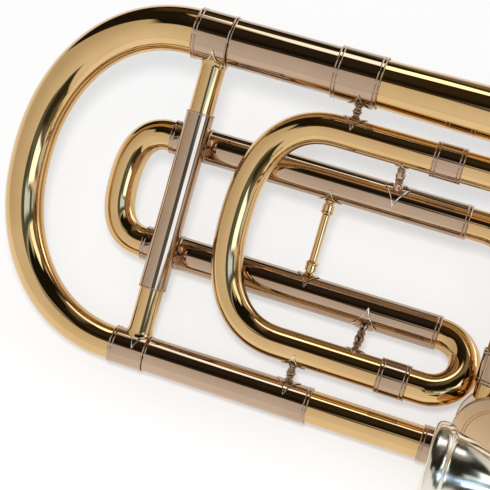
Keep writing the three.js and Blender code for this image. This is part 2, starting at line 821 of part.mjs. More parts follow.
function addValve() {
  const centre = point(valveX, valveY);
  const bore = casingRadius - casingWall;
  const port = (quarters) => centre.clone().addScaledVector(portDirection(quarters), bore - casingWall);
  const runs = [
    [port(0), point(returnPortX, returnPortY - fFerruleLength), point(returnPortX, returnPortY)],
    [port(1), point(outElbowX, 0), point(lowLegEnd + fit, 0)],
    [port(2), point(neckElbowX, neckElbowY), point(neckKnuckleX, neckElbowY)],
    [port(3), point(feedPortX, feedPortY - 2 * knuckleSeat), point(feedPortX, feedPortY)]];
  const barrel = (radius, low, high) => rod(
    point(valveX, valveY, low), point(valveX, valveY, high), radius, wideSides);
  const walls = runs.flatMap((run) => knuckle(run, knuckleRadius));
  const beyond = (run) => {
    const [before, end] = run.slice(-2);
    const past = end.clone().sub(before).normalize().multiplyScalar(cutOverrun).add(end);
    return [...run.slice(0, -1), past];
  };
  const bores = runs.flatMap((run) => knuckle(beyond(run), knuckleRadius - knuckleWall));
  const socket = (run, radius, start, overrun) => {
    const [before, end] = run.slice(-2);
    const along = end.clone().sub(before).normalize();
    return rod(end.clone().addScaledVector(along, -start), end.clone().addScaledVector(along, overrun),
      radius, bendSides);
  };
  const cups = runs.slice(2);
  const cupBore = knuckleRadius + fit;
  const collars = cups.map((run) => socket(run, cupBore + ferruleWall, knuckleSeat + ringWidth, 0));
  const seats = cups.map((run) => socket(run, cupBore, knuckleSeat, cutOverrun));
  add('valve_casing', 'brass', cut(
    joined(barrel(casingRadius, casingBottom, casingTop), ...walls, ...collars),
    barrel(bore, casingBottom - cutOverrun, casingTop + cutOverrun), ...bores, ...seats));

  const up = (profile, sides = wideSides) => stood(turned(profile, sides), centre, zAxis);
  const seat = casingTop + fit;
  const lip = capTop - capPlateThickness;
  const groove = capGrooveRadius;
  add('valve_cap', 'brass', up([
    [seat - 2 * fit - weld, 0], [seat - 2 * fit - weld, bore - fit], [seat, bore - fit],
    [seat, capRadius], [lip, capRadius], [capTop - fit, capRadius], [capTop, capRadius - fit],
    [capTop, groove + capGrooveDepth], [capTop - capGrooveDepth, groove + capGrooveDepth / 2],
    [capTop - capGrooveDepth, groove - capGrooveDepth / 2], [capTop, groove - capGrooveDepth],
    [capTop, 0]]));

  const rotorRadius = bore - fit;
  const plateTop = casingBottom - fit;
  const plateBottom = plateTop - plateThickness;
  const hub = plateBottom - fit;
  const armBottom = hub - stopArmThickness;
  add('valve_back_plate', 'brass', up([
    [plateBottom, stemRadius + fit], [plateBottom, casingRadius - fit], [plateTop, casingRadius],
    [plateTop, rotorRadius], [plateTop + fit + weld, rotorRadius],
    [plateTop + fit + weld, stemRadius + fit]]));

  const rotorLow = plateTop + 2 * fit + weld;
  const rotorHigh = seat - 3 * fit - weld;
  const passage = (quarters) => {
    const from = centre.clone().addScaledVector(portDirection(quarters), bore + cutOverrun);
    const to = centre.clone().addScaledVector(portDirection(quarters + 1), bore + cutOverrun);
    const middle = portDirection(quarters + 0.5).multiplyScalar(passageRadius).add(centre);
    const curve = new THREE.QuadraticBezierCurve3(from, middle, to);
    return swept(curve.getPoints(passageSteps), () => passageRadius, 0, passageSides);
  };
  add('rotor', 'nickel', cut(up([
    [armBottom - fit, 0], [armBottom - fit, stemRadius], [rotorLow, stemRadius],
    [rotorLow, rotorRadius], [rotorHigh, rotorRadius], [rotorHigh, 0]]), passage(1), passage(3)));

  const pin = pinAt(stopArmAngle);
  const arm = eyeBar(
    { centre, eye: stopHubRadius, hole: stemRadius + fit },
    { centre: pin, eye: eyeRadius, hole: 0 }, stopArmWidth, stopArmThickness);
  arm.translate(0, 0, armBottom);
  add('stop_arm', 'nickel', arm);
  for (const [name, angle] of [['stop_bumper_rest', 1], ['stop_bumper_pressed', -1]]) {
    const reach = stopArmRadius - bumperRadius;
    const aside = Math.asin((stopArmWidth / 2 + bumperRadius + fit) / reach);
    const turn = angle > 0 ? radians(stopArmAngle) + aside : radians(stopArmAngle - 90) - aside;
    const foot = point(reach * Math.cos(turn), reach * Math.sin(turn)).add(centre);
    const top = foot.clone().setZ(plateBottom - fit);
    add(name, 'rubber', rod(top, foot.clone().setZ(top.z - bumperHeight + weld), bumperRadius));
  }
  return armBottom;
}

// Centre of the stop arm's pin when the arm points at `degrees`
const pinAt = (degrees) => point(
  valveX + stopArmRadius * Math.cos(radians(degrees)),
  valveY + stopArmRadius * Math.sin(radians(degrees)));

function addLinkage(armBottom) {
  const linkTop = armBottom - fit - weld;
  const linkBottom = linkTop - stopArmThickness;
  const leverTop = linkBottom - fit;
  const leverBottom = leverTop - leverThickness;
  const pin = pinAt(stopArmAngle);
  const leverPin = point(bellBraceX, pin.y);
  const pivot = point(bellBraceX, pin.y + leverArm);

  const link = eyeBar(
    { centre: pin, eye: eyeRadius, hole: 0 },
    { centre: leverPin, eye: eyeRadius, hole: 0 }, linkWidth, stopArmThickness);
  link.translate(0, 0, linkBottom);
  const post = rod(leverPin.clone().setZ(leverBottom), leverPin.clone().setZ(linkTop - weld),
    linkPinRadius);
  add('link_rod', 'steel', joined(link, post));

  const eye = leverWidth / 2 + weld;
  const arm = eyeBar(
    { centre: pivot, eye, hole: pivotRadius + fit },
    { centre: leverPin, eye, hole: linkPinRadius + fit }, leverWidth, leverThickness);
  const padCentre = point(bellBraceX - leverPadReach, pivot.y);
  const handleEnd = bellBraceX - leverWidth / 2 + weld;
  const handle = block(point((handleEnd + padCentre.x) / 2, padCentre.y, leverThickness / 2),
    handleEnd - padCentre.x, leverWidth, leverThickness);
  const pad = block(point(padCentre.x, padCentre.y, leverThickness - padWidth / 2),
    padLength, leverThickness, padWidth);
  const lever = joined(arm, handle, pad);
  lever.translate(0, 0, leverBottom);
  add('thumb_lever', 'brass', lever);

  const head = leverBottom - fit;
  const shoulder = leverTop + fit;
  const seat = -bellBraceRadius - fit;
  const down = point(0, 0, -1);
  add('lever_bracket', 'brass', stood(turned([
    [-seat, 0], [-seat, bracketRadius + weld], [-seat + leverThickness, bracketRadius + weld],
    [-seat + leverThickness, bracketRadius], [-shoulder, bracketRadius],
    [-shoulder, pivotRadius], [-head, pivotRadius], [-head, bracketRadius],
    [-head + leverThickness / 2, bracketRadius], [-head + leverThickness / 2, 0]]),
    pivot, down));
  const springStart = -seat + leverThickness + springWire + fit;
  const springEnd = -shoulder - springWire - fit;
  add('lever_spring', 'steel', stood(
    coil('lever_spring', springTurns, springRadius, springWire, springEnd - springStart),
    pivot.clone().setZ(-springStart), down));
}

function addSmallBraces() {
  const at = (x, y, z, radius) => ({ centre: point(x, y, z), radius });
  const bellFerruleRadius = highReceiverRadius + fit + ferruleWall;
  add('bell_to_loop_brace', 'nickel', brace(
    at(bellToLoopBraceX, loopHighY, 0, fTubeRadius),
    at(bellToLoopBraceX, bellAxisY, 0, bellFerruleRadius), postShares, postRadius));
  add('loop_to_f_brace_upper', 'brass', brace(
    at(highLoopToFBraceX, fSlideHighY, fSlideZ, fReceiverRadius),
    at(highLoopToFBraceX, loopHighY, 0, fTubeRadius), postShares, postRadius));
  add('f_receiver_brace', 'brass', brace(
    at(fReceiverBraceX, fSlideLowY, fSlideZ, fReceiverRadius),
    at(fReceiverBraceX, fSlideHighY, fSlideZ, fReceiverRadius), collaredRodShares, collaredRodRadius));
  add('loop_to_f_brace_lower', 'brass', brace(
    at(lowLoopToFBraceX, loopLowY, 0, fTubeRadius),
    at(lowLoopToFBraceX, fSlideLowY, fSlideZ, fReceiverRadius), postShares, postRadius));
  add('lower_leg_brace', 'nickel', brace(
    at(lowLegBraceX, 0, 0, lowReceiverRadius),
    at(lowLegBraceX, loopLowY, 0, fTubeRadius), postShares, postRadius));
}

function addNeck() {
  const seat = neckReceiverStart + neckSeat;
  const from = neckKnuckleX - knuckleSeat + fit;
  const mid = (neckKnuckleX + neckReceiverStart) / 2;
  const curve = new THREE.CubicBezierCurve3(
    point(neckKnuckleX, neckElbowY), point(mid, neckElbowY), point(mid, 0),
    point(neckReceiverStart, 0));
  const centres = [point(from, neckElbowY), ...curve.getPoints(neckSteps), point(seat, 0)];
  add('gooseneck', 'brass', swept(centres, () => lowLegRadius, lowLegWall));
  const socket = lowLegRadius + fit;
  const bore = tenonRadius + fit;
  add('neck_receiver', 'nickel', turned([
    [neckReceiverStart, neckReceiverRadius - neckTaperDepth],
    [neckReceiverStart + neckTaperLength, neckReceiverRadius],
    [neckReceiverEnd, neckReceiverRadius], [neckReceiverEnd, bore], [tenonStart - fit, bore],
    [tenonStart - fit, lowLegRadius - lowLegWall], [seat + fit, lowLegRadius - lowLegWall],
    [seat + fit, socket], [neckReceiverStart, socket]]));
  const bellRadius = bellWallRadiusAt(bellBraceX + bellBraceFlangeLength / 2);
  add('bell_brace', 'brass', brace(
    { centre: point(bellBraceX, 0), radius: neckReceiverRadius },
    { centre: point(bellBraceX, bellAxisY), radius: bellRadius },
    plainTubeShares, bellBraceRadius, bellBraceFlangeLength, bellBraceFlangeWidth));
}

function addNeckTenon(socket) {
  const lip = nutEnd - nutFloor;
  const collar = lip - fit;
  const nutBore = neckReceiverRadius + fit;
  const tenonCollar = nutBore - 2 * fit;
  add('lock_nut', 'nickel', turned([
    [nutStart, nutRadius - nutChamfer], [nutStart + nutChamfer, nutRadius],
    [nutEnd - nutChamfer, nutRadius], [nutEnd, nutRadius - nutChamfer],
    [nutEnd, tenonRadius + fit], [lip, tenonRadius + fit], [lip, nutBore], [nutStart, nutBore]],
    nutSides), slide);
  add('neck_tenon', 'nickel', turned([
    [tenonStart, tenonRadius], [neckReceiverEnd + fit, tenonRadius],
    [neckReceiverEnd + fit, tenonCollar], [collar, tenonCollar], [collar, tenonRadius],
    [tenonEnd, tenonRadius], [tenonEnd, socket], [innerTubeStart - fit, socket],
    [innerTubeStart - fit, slideBoreRadius], [tenonStart, slideBoreRadius]]), slide);
}

function addMouthpieceReceiver(socket) {
  const mouth = tenonRadius + receiverRingHeight;
  const ringEnd = receiverMouthX + receiverRingLength;
  const shankEnd = rimX + mouthpieceLength;
  add('mouthpiece_receiver', 'nickel', shifted(turned([
    [receiverMouthX, mouth], [ringEnd, mouth], [ringEnd + receiverRingHeight, tenonRadius],
    [tenonEnd, tenonRadius], [tenonEnd, socket], [innerTubeStart - fit, socket],
    [innerTubeStart - fit, slideBoreRadius], [shankEnd + 2 * fit, slideBoreRadius],
    [shankEnd + fit, shankEndRadius + fit], [receiverMouthX, shankMouthRadius + fit]]),
    0, slideSpacing), slide);
}

function addInnerSlide() {
  const tube = slideBoreRadius + innerTubeWall;
  addNeckTenon(tube + fit);
  addMouthpieceReceiver(tube + fit);
  const inner = turned([
    [innerTubeStart, tube], [innerTubeEnd - stockingLength, tube],
    [innerTubeEnd - stockingLength + fit, stockingRadius], [innerTubeEnd, stockingRadius],
    [innerTubeEnd, slideBoreRadius], [innerTubeStart, slideBoreRadius]]);
  add('inner_tube_neck_side', 'nickel', inner, slide);
  add('inner_tube_mouthpiece_side', 'nickel', shifted(inner, 0, slideSpacing), slide);
  const hole = tenonRadius + fit;
  const floor = barrelStart + barrelFloor;
  const barrel = turned([
    [barrelStart, barrelRadius - barrelChamfer], [barrelStart + barrelChamfer, barrelRadius],
    [barrelEnd, barrelRadius], [barrelEnd, barrelRadius - barrelWall],
    [floor, barrelRadius - barrelWall], [floor, hole], [barrelStart, hole]], wideSides);
  add('cork_barrel_neck_side', 'nickel', barrel, slide);
  add('cork_barrel_mouthpiece_side', 'nickel', shifted(barrel, 0, slideSpacing), slide);
  add('inner_slide_brace', 'nickel', brace(
    { centre: point(innerBraceX, 0), radius: barrelRadius },
    { centre: point(innerBraceX, 0, slideSpacing), radius: barrelRadius },
    footedTubeShares, innerBraceRadius, innerBraceFlange, innerBraceFlange), slide);

  const outside = barrelRadius + fit + lockRingWall;
  const ring = turned(tubeProfile(
    lockRingStart, lockRingStart + lockRingLength, outside, lockRingWall), wideSides);
  const tab = block(
    point(lockRingStart + lockRingLength / 2, 0, outside + lockTabHeight / 2 - lockTabSeat),
    lockTabLength, lockTabWidth, lockTabHeight);
  add('slide_lock_ring', 'nickel', shifted(joined(ring, tab), 0, slideSpacing), slide);
}

// Turns the water key's pieces from below the crook's lower leg to the side that they are on
const facing = (geometry) => geometry.rotateX(radians(keyTurnDegrees));

// The crook's drain nipple, the ears for the key and their pin, below a tube of `radius`
function keyFittings(radius) {
  const bottom = -radius;
  const nippleEnd = bottom - nippleHeight;
  const nipple = rod(point(keyNippleX, 0, bottom + crookWall / 2), point(keyNippleX, 0, nippleEnd),
    nippleRadius);
  const earTop = bottom + keyEarSeat;
  const earBottom = -keyHingeDepth - keyEarMargin;
  const pinReach = keyEarReach + keyEarThickness / 2;
  const ears = [-1, 1].map((side) => block(
    point(keyHingeX, side * pinReach, (earTop + earBottom) / 2),
    keyEarLength, keyEarThickness, earTop - earBottom));
  const pin = rod(point(keyHingeX, -pinReach, -keyHingeDepth), point(keyHingeX, pinReach, -keyHingeDepth),
    keyPinRadius);
  const drain = rod(point(keyNippleX, 0, 0), point(keyNippleX, 0, nippleEnd - cutOverrun), nippleBore);
  return { solids: [nipple, ...ears, pin].map(facing), drain: facing(drain), seat: nippleEnd - fit };
}

function addWaterKey(seat) {
  const reach = keyEarReach - fit;
  const barrel = rod(point(keyHingeX, -reach, -keyHingeDepth), point(keyHingeX, reach, -keyHingeDepth),
    keySleeveRadius);
  const hole = rod(
    point(keyHingeX, -reach - cutOverrun, -keyHingeDepth),
    point(keyHingeX, reach + cutOverrun, -keyHingeDepth), keyPinRadius + fit);
  const armY = reach - keyArmWidth / 2;
  const armZ = -keyHingeDepth - keySleeveRadius + weld;
  const arm = block(point((keyNippleX + keyHingeX - keyTabReach) / 2, armY, armZ),
    keyHingeBack + keyTabReach, keyArmWidth, keyArmThickness);
  const cup = rod(point(keyNippleX, 0, seat), point(keyNippleX, 0, armZ - keyArmThickness / 2 + fit),
    keyCupRadius);
  const tab = block(point(keyHingeX - keyTabReach, 0, armZ), keyTabLength, keyTabWidth, keyArmThickness);
  add('water_key', 'brass', facing(cut(joined(barrel, arm, cup, tab), hole)), slide);
  const start = -reach + 2 * keySpringWire;
  const end = armY - keyArmWidth / 2 - 2 * keySpringWire;
  add('water_key_spring', 'steel', facing(stood(
    coil('water_key_spring', keySpringTurns, keySleeveRadius + fit + 2 * keySpringWire,
      keySpringWire, end - start),
    point(keyHingeX, start, -keyHingeDepth), yAxis)), slide);
}

function addOuterSlide() {
  const bore = stockingRadius + fit;
  const radius = bore + outerTubeWall;
  const socket = radius + fit;
  const sleeve = socket + ferruleWall;
  const bead = sleeve + ringHeight;
  const end = outerTubeEnd;
  const collar = radius + outerCollarHeight;
  const tube = turned([
    [outerTubeStart, collar], [outerTubeStart + outerCollarLength, collar],
    [outerTubeStart + outerCollarLength, radius], [end - crookFerruleLength, radius],
    [end - crookFerruleLength, sleeve], [end - ringWidth, sleeve], [end - ringWidth, bead],
    [end, bead], [end, socket], [crookLegStart - fit, socket], [crookLegStart - fit, bore],
    [outerTubeStart, bore]]);
  add('outer_tube_neck_side', 'brass', tube, slide);
  add('outer_tube_mouthpiece_side', 'brass', shifted(tube, 0, slideSpacing), slide);
  add('handle_brace', 'nickel', brace(
    { centre: point(handleX, 0), radius }, { centre: point(handleX, 0, slideSpacing), radius },
    footedTubeShares, handleRadius, handleFlangeLength, handleFlangeWidth), slide);

  const half = slideSpacing / 2;
  const path = [point(crookLegStart, 0, slideSpacing)];
  for (let i = 0; i <= crookSteps; i += 1) {
    const angle = Math.PI * (0.5 - i / crookSteps);
    path.push(point(crookBendX + half * Math.cos(angle), 0, half + half * Math.sin(angle)));
  }
  path.push(point(crookLegStart, 0, 0));
  const pipe = swept(path, () => radius, crookWall, bendSides, yAxis);
  const tip = crookBendX + half + radius;
  const bossEnd = tip + bumperBossLength;
  const boss = rod(point(tip - crookWall / 2, 0, half), point(bossEnd, 0, half), bumperBossRadius);
  const fittings = keyFittings(radius);
  add('slide_crook', 'brass', cut(joined(pipe, boss, ...fittings.solids), fittings.drain), slide);
  add('slide_bumper', 'rubber', rod(
    point(bossEnd + fit, 0, half), point(bossEnd + bumperTipLength, 0, half), bumperTipRadius), slide);
  addWaterKey(fittings.seat);
}

function addMouthpiece() {
  const end = rimX + mouthpieceLength;
  const outline = (shares, radius) => shares.map(
    ([along, across]) => [rimX + cupDepth * along, radius * across]);
  add('mouthpiece', 'silver', shifted(turned([
    ...outline(mouthpieceOuterShares, rimRadius),
    [receiverMouthX, shankMouthRadius], [end, shankEndRadius], [end, shankEndRadius - shankWall],
    ...outline(mouthpieceInnerShares, cupRadius)], wideSides), 0, slideSpacing), slide);
}

addTuningSlide();
addBellSection();
addFSlide();
addLoop();
addSmallBraces();
const armBottom = addValve();
addLinkage(armBottom);
addNeck();
addInnerSlide();
addOuterSlide();
addMouthpiece();

// Corner of a mesh that lies furthest in a direction, in the scene's frame
function furthestCorner(mesh, direction) {
  const corners = mesh.geometry.attributes.position;
  const best = point(0, 0);
  let reach = -Infinity;
  for (let i = 0; i < corners.count; i += 1) {
    const corner = new THREE.Vector3().fromBufferAttribute(corners, i).applyMatrix4(mesh.matrixWorld);
    if (corner.dot(direction) > reach) {
      reach = corner.dot(direction);
      best.copy(corner);
    }
  }
  return best;
}

// Downward direction when the instrument lies on three of its pieces: each pass takes the
// lowest corner of each piece and tilts the floor to pass through all three.
function restingDirection(supports, guess) {
  let down = guess.clone().normalize();
  for (let pass = 0; pass < restPasses; pass += 1) {
    const [a, b, c] = supports.map((mesh) => furthestCorner(mesh, down));
    const normal = b.clone().sub(a).cross(c.clone().sub(a)).normalize();
    down = normal.dot(down) < 0 ? normal.negate() : normal;
  }
  return down;
}

// It lies on the bell's rim, the valve's back and the hand slide, with the mouthpiece up
const trombone = new THREE.Group();
trombone.add(instrument);
trombone.updateMatrixWorld(true);
const supports = ['bell', 'valve_back_plate', 'outer_tube_neck_side']
  .map((name) => instrument.getObjectByName(name));
const down = restingDirection(supports, point(0, -bellRimRadius, -bellRimRadius));
instrument.quaternion.setFromUnitVectors(down, zAxis.clone().negate());
const forwards = xAxis.clone().applyQuaternion(instrument.quaternion);
instrument.applyQuaternion(new THREE.Quaternion().setFromAxisAngle(
  zAxis, -Math.atan2(forwards.y, forwards.x)));
trombone.updateMatrixWorld(true);
const bounds = new THREE.Box3().setFromObject(trombone, true);
const middle = bounds.getCenter(point(0, 0));
instrument.position.set(-middle.x, -middle.y, -bounds.min.z);
trombone.updateMatrixWorld(true);

export default trombone;
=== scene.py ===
import json
import logging
import math
from collections.abc import Callable, Sequence
from dataclasses import dataclass, field
from enum import Enum

import bmesh
import bpy
from mathutils import Matrix, Vector
from mathutils.geometry import interpolate_bezier


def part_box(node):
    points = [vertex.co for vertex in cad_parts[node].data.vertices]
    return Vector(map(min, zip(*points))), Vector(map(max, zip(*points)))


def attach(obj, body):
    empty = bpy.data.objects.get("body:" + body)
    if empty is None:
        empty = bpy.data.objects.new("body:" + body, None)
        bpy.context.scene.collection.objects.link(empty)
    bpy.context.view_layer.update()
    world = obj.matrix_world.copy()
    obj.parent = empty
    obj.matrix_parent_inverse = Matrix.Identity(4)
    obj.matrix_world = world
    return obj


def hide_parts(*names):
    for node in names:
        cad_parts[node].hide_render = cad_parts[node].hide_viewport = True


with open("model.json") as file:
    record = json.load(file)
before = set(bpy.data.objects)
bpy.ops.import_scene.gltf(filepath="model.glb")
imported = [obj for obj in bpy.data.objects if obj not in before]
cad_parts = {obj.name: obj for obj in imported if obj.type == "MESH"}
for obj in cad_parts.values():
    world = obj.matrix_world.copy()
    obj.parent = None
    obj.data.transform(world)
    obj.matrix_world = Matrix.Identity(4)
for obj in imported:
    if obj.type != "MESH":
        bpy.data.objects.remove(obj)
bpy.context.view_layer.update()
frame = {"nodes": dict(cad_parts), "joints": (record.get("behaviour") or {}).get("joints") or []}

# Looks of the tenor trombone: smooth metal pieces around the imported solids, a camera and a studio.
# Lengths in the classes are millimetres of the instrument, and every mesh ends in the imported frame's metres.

MILLIMETRE = 0.001
LOG = logging.getLogger("trombone")

Profile = list[tuple[float, float]]


# Finishes

class Slot(Enum):
    """Material slots of the record."""

    BRASS = "lacquered_brass"
    NICKEL = "nickel_silver"
    SILVER = "silver_plate"
    STEEL = "steel"
    RUBBER = "black_rubber"


def noise(tree: bpy.types.NodeTree, scale: float, detail: float,
          stretch: tuple[float, float, float] = (1.0, 1.0, 1.0)) -> bpy.types.NodeSocket:
    """Adds noise on object coordinates.

    Args:
        tree: The material's node tree.
        scale: Features per metre, roughly.
        detail: Octaves of finer noise.
        stretch: Factor on the coordinates along each axis, for streaks.

    Returns:
        The noise's value socket.
    """
    coordinates = tree.nodes.new("ShaderNodeTexCoord")
    mapping = tree.nodes.new("ShaderNodeMapping")
    mapping.inputs["Scale"].default_value = stretch
    texture = tree.nodes.new("ShaderNodeTexNoise")
    texture.inputs["Scale"].default_value = scale
    texture.inputs["Detail"].default_value = detail
    tree.links.new(coordinates.outputs["Object"], mapping.inputs["Vector"])
    tree.links.new(mapping.outputs["Vector"], texture.inputs["Vector"])
    return texture.outputs["Fac"]


def remapped(tree: bpy.types.NodeTree, value: bpy.types.NodeSocket, source: tuple[float, float],
             target: tuple[float, float]) -> bpy.types.NodeSocket:
    """Maps a value from one range to another with soft ends.

    Args:
        tree: The node tree.
        value: The socket to map.
        source: The range that comes in.
        target: The range that goes out.

    Returns:
        The mapped value's socket.
    """
    node = tree.nodes.new("ShaderNodeMapRange")
    node.interpolation_type = "SMOOTHSTEP"
    node.inputs["From Min"].default_value, node.inputs["From Max"].default_value = source
    node.inputs["To Min"].default_value, node.inputs["To Max"].default_value = target
    tree.links.new(value, node.inputs["Value"])
    return node.outputs["Result"]


@dataclass(frozen=True)
class PolishedMetal:
    """A polished metal with clouds of tone, smudges, hairlines and, where it is lacquered, a coat."""

    name: str
    shade: tuple[float, float, float]
    tint: tuple[float, float, float]
    smooth: float
    smudged: float
    coat: float = 0.0
    cloud_scale: float = 28.0
    smudge_scale: float = 95.0
    hairline_stretch: tuple[float, float, float] = (60.0, 2600.0, 2600.0)
    hairline_depth: float = 0.0000012

    def build(self) -> bpy.types.Material:
        """Builds the material.

        Returns:
            The new material.
        """
        material = bpy.data.materials.new(self.name)
        material.use_nodes = True
        tree = material.node_tree
        shader = tree.nodes["Principled BSDF"]
        shader.inputs["Metallic"].default_value = 1.0
        shader.inputs["Coat Weight"].default_value = self.coat
        shader.inputs["Coat Roughness"].default_value = 0.03
        shader.inputs["Coat IOR"].default_value = 1.5
        ramp = tree.nodes.new("ShaderNodeValToRGB")
        ramp.color_ramp.elements[0].position = 0.3
        ramp.color_ramp.elements[0].color = (*self.shade, 1.0)
        ramp.color_ramp.elements[1].position = 0.7
        ramp.color_ramp.elements[1].color = (*self.tint, 1.0)
        tree.links.new(noise(tree, self.cloud_scale, 3.0), ramp.inputs["Fac"])
        tree.links.new(ramp.outputs["Color"], shader.inputs["Base Color"])
        smudges = remapped(tree, noise(tree, self.smudge_scale, 5.0), (0.42, 0.72),
                           (self.smooth, self.smudged))
        tree.links.new(smudges, shader.inputs["Roughness"])
        bump = tree.nodes.new("ShaderNodeBump")
        bump.inputs["Strength"].default_value = 0.35
        bump.inputs["Distance"].default_value = self.hairline_depth
        tree.links.new(noise(tree, 1.0, 2.0, self.hairline_stretch), bump.inputs["Height"])
        tree.links.new(bump.outputs["Normal"], shader.inputs["Normal"])
        return material


@dataclass(frozen=True)
class MouldedRubber:
    """A matte moulded rubber with a fine grain and worn lighter patches."""

    name: str
    shade: tuple[float, float, float]
    worn: tuple[float, float, float]

    def build(self) -> bpy.types.Material:
        """Builds the material.

        Returns:
            The new material.
        """
        material = bpy.data.materials.new(self.name)
        material.use_nodes = True
        tree = material.node_tree
        shader = tree.nodes["Principled BSDF"]
        shader.inputs["Specular IOR Level"].default_value = 0.35
        ramp = tree.nodes.new("ShaderNodeValToRGB")
        ramp.color_ramp.elements[0].position = 0.45
        ramp.color_ramp.elements[0].color = (*self.shade, 1.0)
        ramp.color_ramp.elements[1].position = 0.75
        ramp.color_ramp.elements[1].color = (*self.worn, 1.0)
        tree.links.new(noise(tree, 260.0, 4.0), ramp.inputs["Fac"])
        tree.links.new(ramp.outputs["Color"], shader.inputs["Base Color"])
        tree.links.new(remapped(tree, noise(tree, 420.0, 3.0), (0.3, 0.7), (0.7, 0.9)),
                       shader.inputs["Roughness"])
        bump = tree.nodes.new("ShaderNodeBump")
        bump.inputs["Strength"].default_value = 0.5
        bump.inputs["Distance"].default_value = 0.00006
        tree.links.new(noise(tree, 3200.0, 3.0), bump.inputs["Height"])
        tree.links.new(bump.outputs["Normal"], shader.inputs["Normal"])
        return material


FINISHES = {
    Slot.BRASS: PolishedMetal("clear_lacquered_brass", (0.66, 0.43, 0.185), (0.76, 0.51, 0.235),
                              0.02, 0.06, coat=0.25),
    Slot.NICKEL: PolishedMetal("polished_nickel_silver", (0.47, 0.33, 0.225), (0.55, 0.39, 0.27),
                               0.025, 0.075, coat=0.15),
    # The silver plate's warm yellow tint is partly its own colour and partly painted reflection of the brass
    # around it; the solder wires share it.
    Slot.SILVER: PolishedMetal("polished_silver_plate", (0.87, 0.8, 0.67), (0.95, 0.89, 0.77),
                               0.13, 0.24, cloud_scale=60.0),
    Slot.STEEL: PolishedMetal("satin_steel", (0.42, 0.42, 0.43), (0.55, 0.55, 0.56), 0.2, 0.34,
                              hairline_depth=0.000004),
    Slot.RUBBER: MouldedRubber("black_rubber", (0.012, 0.012, 0.012), (0.05, 0.048, 0.046)),
}
SATIN_BRASS = PolishedMetal("satin_brass", (0.88, 0.63, 0.4), (0.97, 0.71, 0.46), 0.33, 0.4)


# Spaces and outlines

@dataclass(frozen=True)
class Space:
    """A place on the instrument: its millimetres in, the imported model's metres out."""

    matrix: Matrix

    def moved(self, x: float = 0.0, y: float = 0.0, z: float = 0.0) -> "Space":
        """The same directions from another origin."""
        return Space(self.matrix @ Matrix.Translation((x, y, z)))

    def turned(self, degrees: float, axis: str) -> "Space":
        """The same origin with its axes turned."""
        return Space(self.matrix @ Matrix.Rotation(math.radians(degrees), 4, axis))

    def upright(self) -> "Space":
        """The same origin with X along the old Z."""
        return self.turned(-90.0, "Y")

    def crosswise(self) -> "Space":
        """The same origin with X along the old Y."""
        return self.turned(90.0, "Z")

    def between(self, low: Vector, high: Vector) -> "Space":
        """A space that stands on `low` with its Y towards `high` and its X unchanged.

        Args:
            low: The origin, in this space.
            high: A point that Y aims at, straight across X.

        Returns:
            The new space.
        """
        up = (high - low).normalized()
        along = Vector((1.0, 0.0, 0.0))
        side = along.cross(up)
        turn = Matrix((along, up, side)).transposed().to_4x4()
        return Space(self.matrix @ Matrix.Translation(low) @ turn)


def instrument_spaces(valve_x: float, valve_y: float) -> tuple[Space, Space]:
    """Finds the bell section's and the hand slide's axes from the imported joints.

    Args:
        valve_x: The rotor's place along the tubes, which ties the origin to its joint.
        valve_y: The rotor's place across them.

    Returns:
        The bell section's space and the hand slide's, both from the main bow's lower seam.
    """
    joints = {joint["name"]: joint for joint in frame["joints"]}
    along = -Vector(joints["main_tuning_slide"]["axis"]).normalized()
    spaces = []
    for hinge in ("thumb_lever_pivot", "water_key_hinge"):
        up = Vector(joints[hinge]["axis"])
        up = (up - along * up.dot(along)).normalized()
        spaces.append(Matrix((along, up.cross(along), up)).transposed())
    valve = Vector((valve_x, valve_y, 0.0)) * MILLIMETRE
    origin = Vector(joints["rotor_turn"]["pos_m"]) - spaces[0] @ valve
    scale = Matrix.Scale(MILLIMETRE, 4)
    bell, slide = (Space(Matrix.Translation(origin) @ axes.to_4x4() @ scale) for axes in spaces)
    return bell, slide


def rounded(outline: Profile, radius: float = 0.14, steps: int = 3, closed: bool = True) -> Profile:
    """Rounds the corners of an outline, with a support point on each side to keep its flats flat.

    Args:
        outline: Points as (along, radius).
        radius: How far back from a corner its rounding starts.
        steps: Runs in each rounding.
        closed: Whether the last point runs on to the first.

    Returns:
        The rounded outline.
    """
    points = [Vector(p) for p in outline]
    result: list[Vector] = []
    last = len(points) - 1
    for i, corner in enumerate(points):
        if not closed and i in (0, last):
            result.append(corner)
            continue
        before, after = points[i - 1], points[(i + 1) % len(points)]
        back, ahead = before - corner, after - corner
        if back.angle(ahead) > math.radians(172.0):
            result.append(corner)
            continue
        reach = min(radius, 0.3 * back.length, 0.3 * ahead.length)
        start, end = corner + back.normalized() * reach, corner + ahead.normalized() * reach
        result.append(corner + back.normalized() * 1.5 * reach)
        for k in range(steps + 1):
            share = k / steps
            result.append(start.lerp(corner, share).lerp(corner.lerp(end, share), share))
        result.append(corner + ahead.normalized() * 1.5 * reach)
    return [(p.x, p.y) for p in result]


def bead(start: float, radius: float, width: float = 0.75, height: float = 0.3,
         steps: int = 8) -> Profile:
    """Outline of one fine ring with steep flanks.

    Args:
        start: Where it starts along the axis.
        radius: The ferrule's radius.
        width: Its width.
        height: Its height.
        steps: Runs over it.

    Returns:
        The outline, from low to high along the axis.
    """
    points = []
    for k in range(steps + 1):
        across = 2 * k / steps - 1
        points.append((start + width * k / steps, radius + height * (1 - abs(across) ** 1.4)))
    return points


def ring_pair(start: float, radius: float, width: float = 2.3, height: float = 0.3) -> Profile:
    """Outline of the two fine rings at the end of a ferrule.

    Args:
        start: Where the pair starts along the axis.
        radius: The ferrule's radius.
        width: Length that the pair covers.
        height: Height of each ring.

    Returns:
        The outline, from low to high along the axis.
    """
    single = 0.32 * width
    return bead(start, radius, single, height) + bead(start + width - single, radius, single, height)


